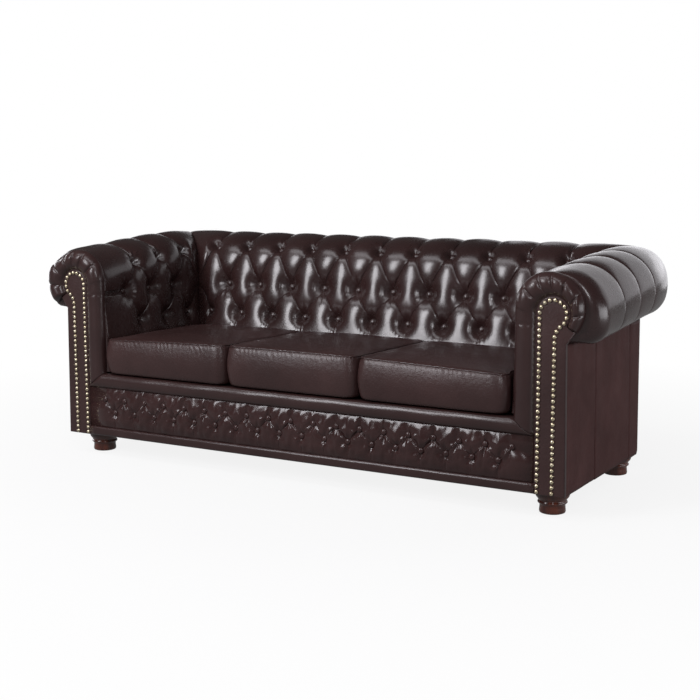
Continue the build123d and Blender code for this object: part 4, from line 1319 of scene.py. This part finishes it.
def welt(name, line, normals, body, seed):
    """Sewn welt round the top of a cushion, drawn up unevenly by its stitches."""
    along = unit(np.roll(line, -1, axis=0) - np.roll(line, 1, axis=0))
    across = unit(np.cross(along, normals))
    radius = WELT_RADIUS * (1 + WELT_UNEVEN * ripple(line, WELT_SPAN, seed))
    rings = []
    for side in range(WELT_SIDES):
        turn = 2 * math.pi * side / WELT_SIDES
        outward = normals * math.cos(turn) + across * math.sin(turn)
        rings.append(line + normals * WELT_LIFT + outward * radius[:, None])
    points = np.stack(rings, axis=1)
    rows = np.concatenate([points, points[:1]])
    faces = grid_faces(len(rows), WELT_SIDES, loop=True)
    make_piece(name, (rows.reshape(-1, 3), faces), band_leather, body=body)


def seat_cushion(label, place):
    body = f"cushion_{label}"
    middle_x = place * (CUSHION_WIDTH + CUSHION_GAP)
    mesh, seam = cushion_mesh(f"leather_cushion_{label}", middle_x)
    piece = add_object(mesh.name, mesh)
    points = inflate(piece, seam)
    piece.vertex_groups.clear()
    points = fitted(points, place, middle_x)
    set_points(mesh, points)
    points[seam] -= normals_of(mesh)[seam] * SEAM_SINK
    set_points(mesh, points)
    line, outward = pucker(piece, seam[len(seam) // 2:], 41 + place)
    welt(f"cushion_welt_{label}", line, outward, body, 61 + place)
    nodes = [f"seat_cushion_{label}", f"cushion_filling_{label}"]
    dress(piece, seat_leather, body=body, stands_for=nodes)


for cushion_label, cushion_place in (("left", -1), ("middle", 0), ("right", 1)):
    seat_cushion(cushion_label, cushion_place)


# deck under the cushions and cloth under the frame

DECK_ROWS, DECK_COLUMNS = 41, 91
DECK_SLACK, DECK_SLACK_SPAN, DECK_EDGE = 0.0012, 0.20, 0.004
CLOTH_ROWS, CLOTH_COLUMNS = 36, 90
CLOTH_SAG = 0.0030
CLOTH_HALF_THICK = 0.0006


def deck_pad():
    """Padded deck on the springs, crowned a little and rounded at its edges."""
    low, high = (np.array(corner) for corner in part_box("seat_deck"))
    middle, half = (low + high) / 2, (high - low) / 2
    upper, lower = [], []
    for b in 2 * ease(DECK_ROWS - 1) - 1:
        for a in 2 * ease(DECK_COLUMNS - 1) - 1:
            edge = max(0.0, (1 - a ** 24) * (1 - b ** 14)) ** 0.5
            crown = 0.6 + 0.4 * (1 - a ** 4) * (1 - b ** 4)
            spot = middle + half * np.array([a, b, 0])
            upper.append(spot + np.array([0, 0, half[2] * edge * crown]))
            lower.append(spot - np.array([0, 0, half[2] * edge]))
    upper = np.array(upper)
    slack = DECK_SLACK * (1 + ripple(upper, DECK_SLACK_SPAN, 71))
    upper[:, 2] -= slack * (upper[:, 2] > middle[2] + DECK_EDGE)
    shape = np.concatenate([upper, lower]), backed(grid_faces(DECK_ROWS, DECK_COLUMNS), len(upper))
    piece = make_piece("deck_pad", shape, inner_finishes["lining"], slot="lining", stands_for=["seat_deck"])


def bottom_cloth():
    """Dust cloth stretched under the frame, with a slight sag between the rails."""
    low, high = (np.array(corner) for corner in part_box("dust_cover"))
    size = high - low
    middle = (low + high) / 2
    sheet = []
    for b in np.linspace(-1, 1, CLOTH_ROWS):
        for a in np.linspace(-1, 1, CLOTH_COLUMNS):
            sag = CLOTH_SAG * (1 - a ** 6) * (1 - b ** 4)
            sheet.append(middle + np.array([a * size[0] / 2, b * size[1] / 2, -sag]))
    sheet = np.array(sheet)
    thin = np.array([0, 0, CLOTH_HALF_THICK])
    shape = closed_sheet(sheet + thin, sheet - thin, CLOTH_ROWS, CLOTH_COLUMNS)
    lining = inner_finishes["lining"]
    piece = make_piece("bottom_cloth", shape, lining, slot="lining", stands_for=["dust_cover"])


deck_pad()
bottom_cloth()


# turned feet

FOOT_FORM = lathe(
    [(0.0345, 0.0), (0.0380, 0.0015), (0.0395, 0.006), (0.0385, 0.016), (0.0380, 0.025), (0.0405, 0.0285),
     (0.0440, 0.0310), (0.0445, 0.0335), (0.0430, 0.0365), (0.0405, 0.0385), (0.0440, 0.0430),
     (0.0495, 0.0500), (0.0520, 0.0580), (0.0505, 0.0670), (0.0465, 0.0740), (0.0440, 0.0780)],
    48,
)
FOOT_X = SIDE_X - 0.074
FOOT_FRONT_Y = COVER_Y + 0.083
FOOT_REAR_Y = REAR_Y - 0.063
foot_places = []
for foot_x in (-FOOT_X, FOOT_X):
    for foot_y in (FOOT_FRONT_Y, FOOT_REAR_Y):
        foot_places.append(((foot_x, foot_y, 0), (0, 0, 1)))
scatter("turned_feet", FOOT_FORM, foot_places, foot_finish, "bun_feet", "foot_wood")


# finishes of the frame inside
node_slots = {part["node"]: part.get("material_slot") for part in frame["record"].get("subparts", [])}
for node, shown in frame["nodes"].items():
    finish = inner_finishes.get(node_slots.get(node), inner_finishes["frame_timber"])
    shown.data.materials.clear()
    shown.data.materials.append(finish)


# studio

FLOOR_HALF = 30
WHITE = (1, 1, 1, 1)


def floor_material():
    """White floor that keeps a soft shadow and gives little light back."""
    material, tree, shader = new_material("studio_floor")
    path = tree.nodes.new("ShaderNodeLightPath").outputs
    albedo = between(tree, path["Is Camera Ray"], 0.14, 0.95)
    fill(tree, shader, {"Base Color": albedo, "Roughness": 0.9, "Specular IOR Level": 0.0})
    glow = add_node(tree, "ShaderNodeEmission", {"Color": WHITE, "Strength": 1.0})
    distance = add_node(tree, "ShaderNodeVectorMath", {0: own_space(tree)}, operation="LENGTH")
    fade = between(tree, distance.outputs["Value"], 0.86, 1.0, 1.0, 2.6)
    seen = reckon(tree, "MULTIPLY", path["Is Camera Ray"], fade)
    mirrored = reckon(tree, "MULTIPLY", path["Is Glossy Ray"], 0.2)
    parts = {"Fac": reckon(tree, "ADD", seen, mirrored), 1: shader.outputs[0], 2: glow.outputs[0]}
    mix = add_node(tree, "ShaderNodeMixShader", parts)
    fill(tree, tree.nodes["Material Output"], {"Surface": mix.outputs[0]})
    return material


def soft_box(name, spot, target, width, height, power):
    lamp = bpy.data.lights.new(name, "AREA")
    lamp.shape = "RECTANGLE"
    lamp.size, lamp.size_y = width, height
    lamp.energy = power
    lamp.color = (0.97, 0.96, 1.0)
    holder = add_object(name, lamp)
    holder.location = spot
    aim = Vector(target) - Vector(spot)
    holder.rotation_euler = aim.to_track_quat("-Z", "Y").to_euler()


floor_mesh = bpy.data.meshes.new("floor")
floor_corners = [(x * FLOOR_HALF, y * FLOOR_HALF, 0) for x, y in ((-1, -1), (1, -1), (1, 1), (-1, 1))]
floor_mesh.from_pydata(floor_corners, [], [(0, 1, 2, 3)])
floor = add_object("floor", floor_mesh)
floor_mesh.materials.append(floor_material())

world = bpy.data.worlds.new("studio")
bpy.context.scene.world = world
world.use_nodes = True
sky = world.node_tree
camera_path = sky.nodes.new("ShaderNodeLightPath").outputs["Is Camera Ray"]
fill(sky, sky.nodes["Background"], {"Color": WHITE, "Strength": between(sky, camera_path, 0.07, 1.0)})

# lamps: place, aim, width, height and power in watts
soft_box("key", (-2.0, -4.1, 2.5), (0, 0, 0.5), 1.5, 2.0, 125)
soft_box("front", (2.7, -4.2, 2.5), (0, 0, 0.5), 0.6, 1.6, 46)
soft_box("top", (-0.4, -1.9, 3.2), (0, 0, 0.4), 4.2, 0.8, 36)
soft_box("backdrop", (1.6, 4.2, 2.0), (0.6, 0, 0.6), 7.0, 2.8, 48)
soft_box("side", (3.9, 0.1, 0.55), (0.5, 0, 0.35), 3.0, 1.0, 40)
soft_box("rear", (-1.2, 4.2, 0.9), (-0.2, 0, 0.4), 6.0, 1.4, 26)
soft_box("left", (-4.2, 0.8, 0.8), (-0.5, 0, 0.4), 2.4, 1.4, 45)

# camera, as fitted to the photograph
LENS, SENSOR = 68.48, 36.0
CAMERA_X, CAMERA_Y, CAMERA_Z = 2.2726, -3.9014, 1.0550
YAW, PITCH_DOWN, ROLL = 0.5297, 0.1480, -0.0025
camera_data = bpy.data.cameras.new("camera")
camera_data.sensor_width = SENSOR
camera_data.lens = LENS
camera = add_object("camera", camera_data)
ahead = math.cos(PITCH_DOWN)
sight = Vector((-math.sin(YAW) * ahead, math.cos(YAW) * ahead, -math.sin(PITCH_DOWN)))
level_right = Vector((math.cos(YAW), math.sin(YAW), 0))
level_up = level_right.cross(sight)
right = math.cos(ROLL) * level_right + math.sin(ROLL) * level_up
up = -math.sin(ROLL) * level_right + math.cos(ROLL) * level_up
camera.matrix_world = Matrix((
    (right.x, up.x, -sight.x, CAMERA_X),
    (right.y, up.y, -sight.y, CAMERA_Y),
    (right.z, up.z, -sight.z, CAMERA_Z),
    (0, 0, 0, 1),
))
bpy.context.scene.camera = camera
bpy.context.scene.view_settings.view_transform = "Standard"
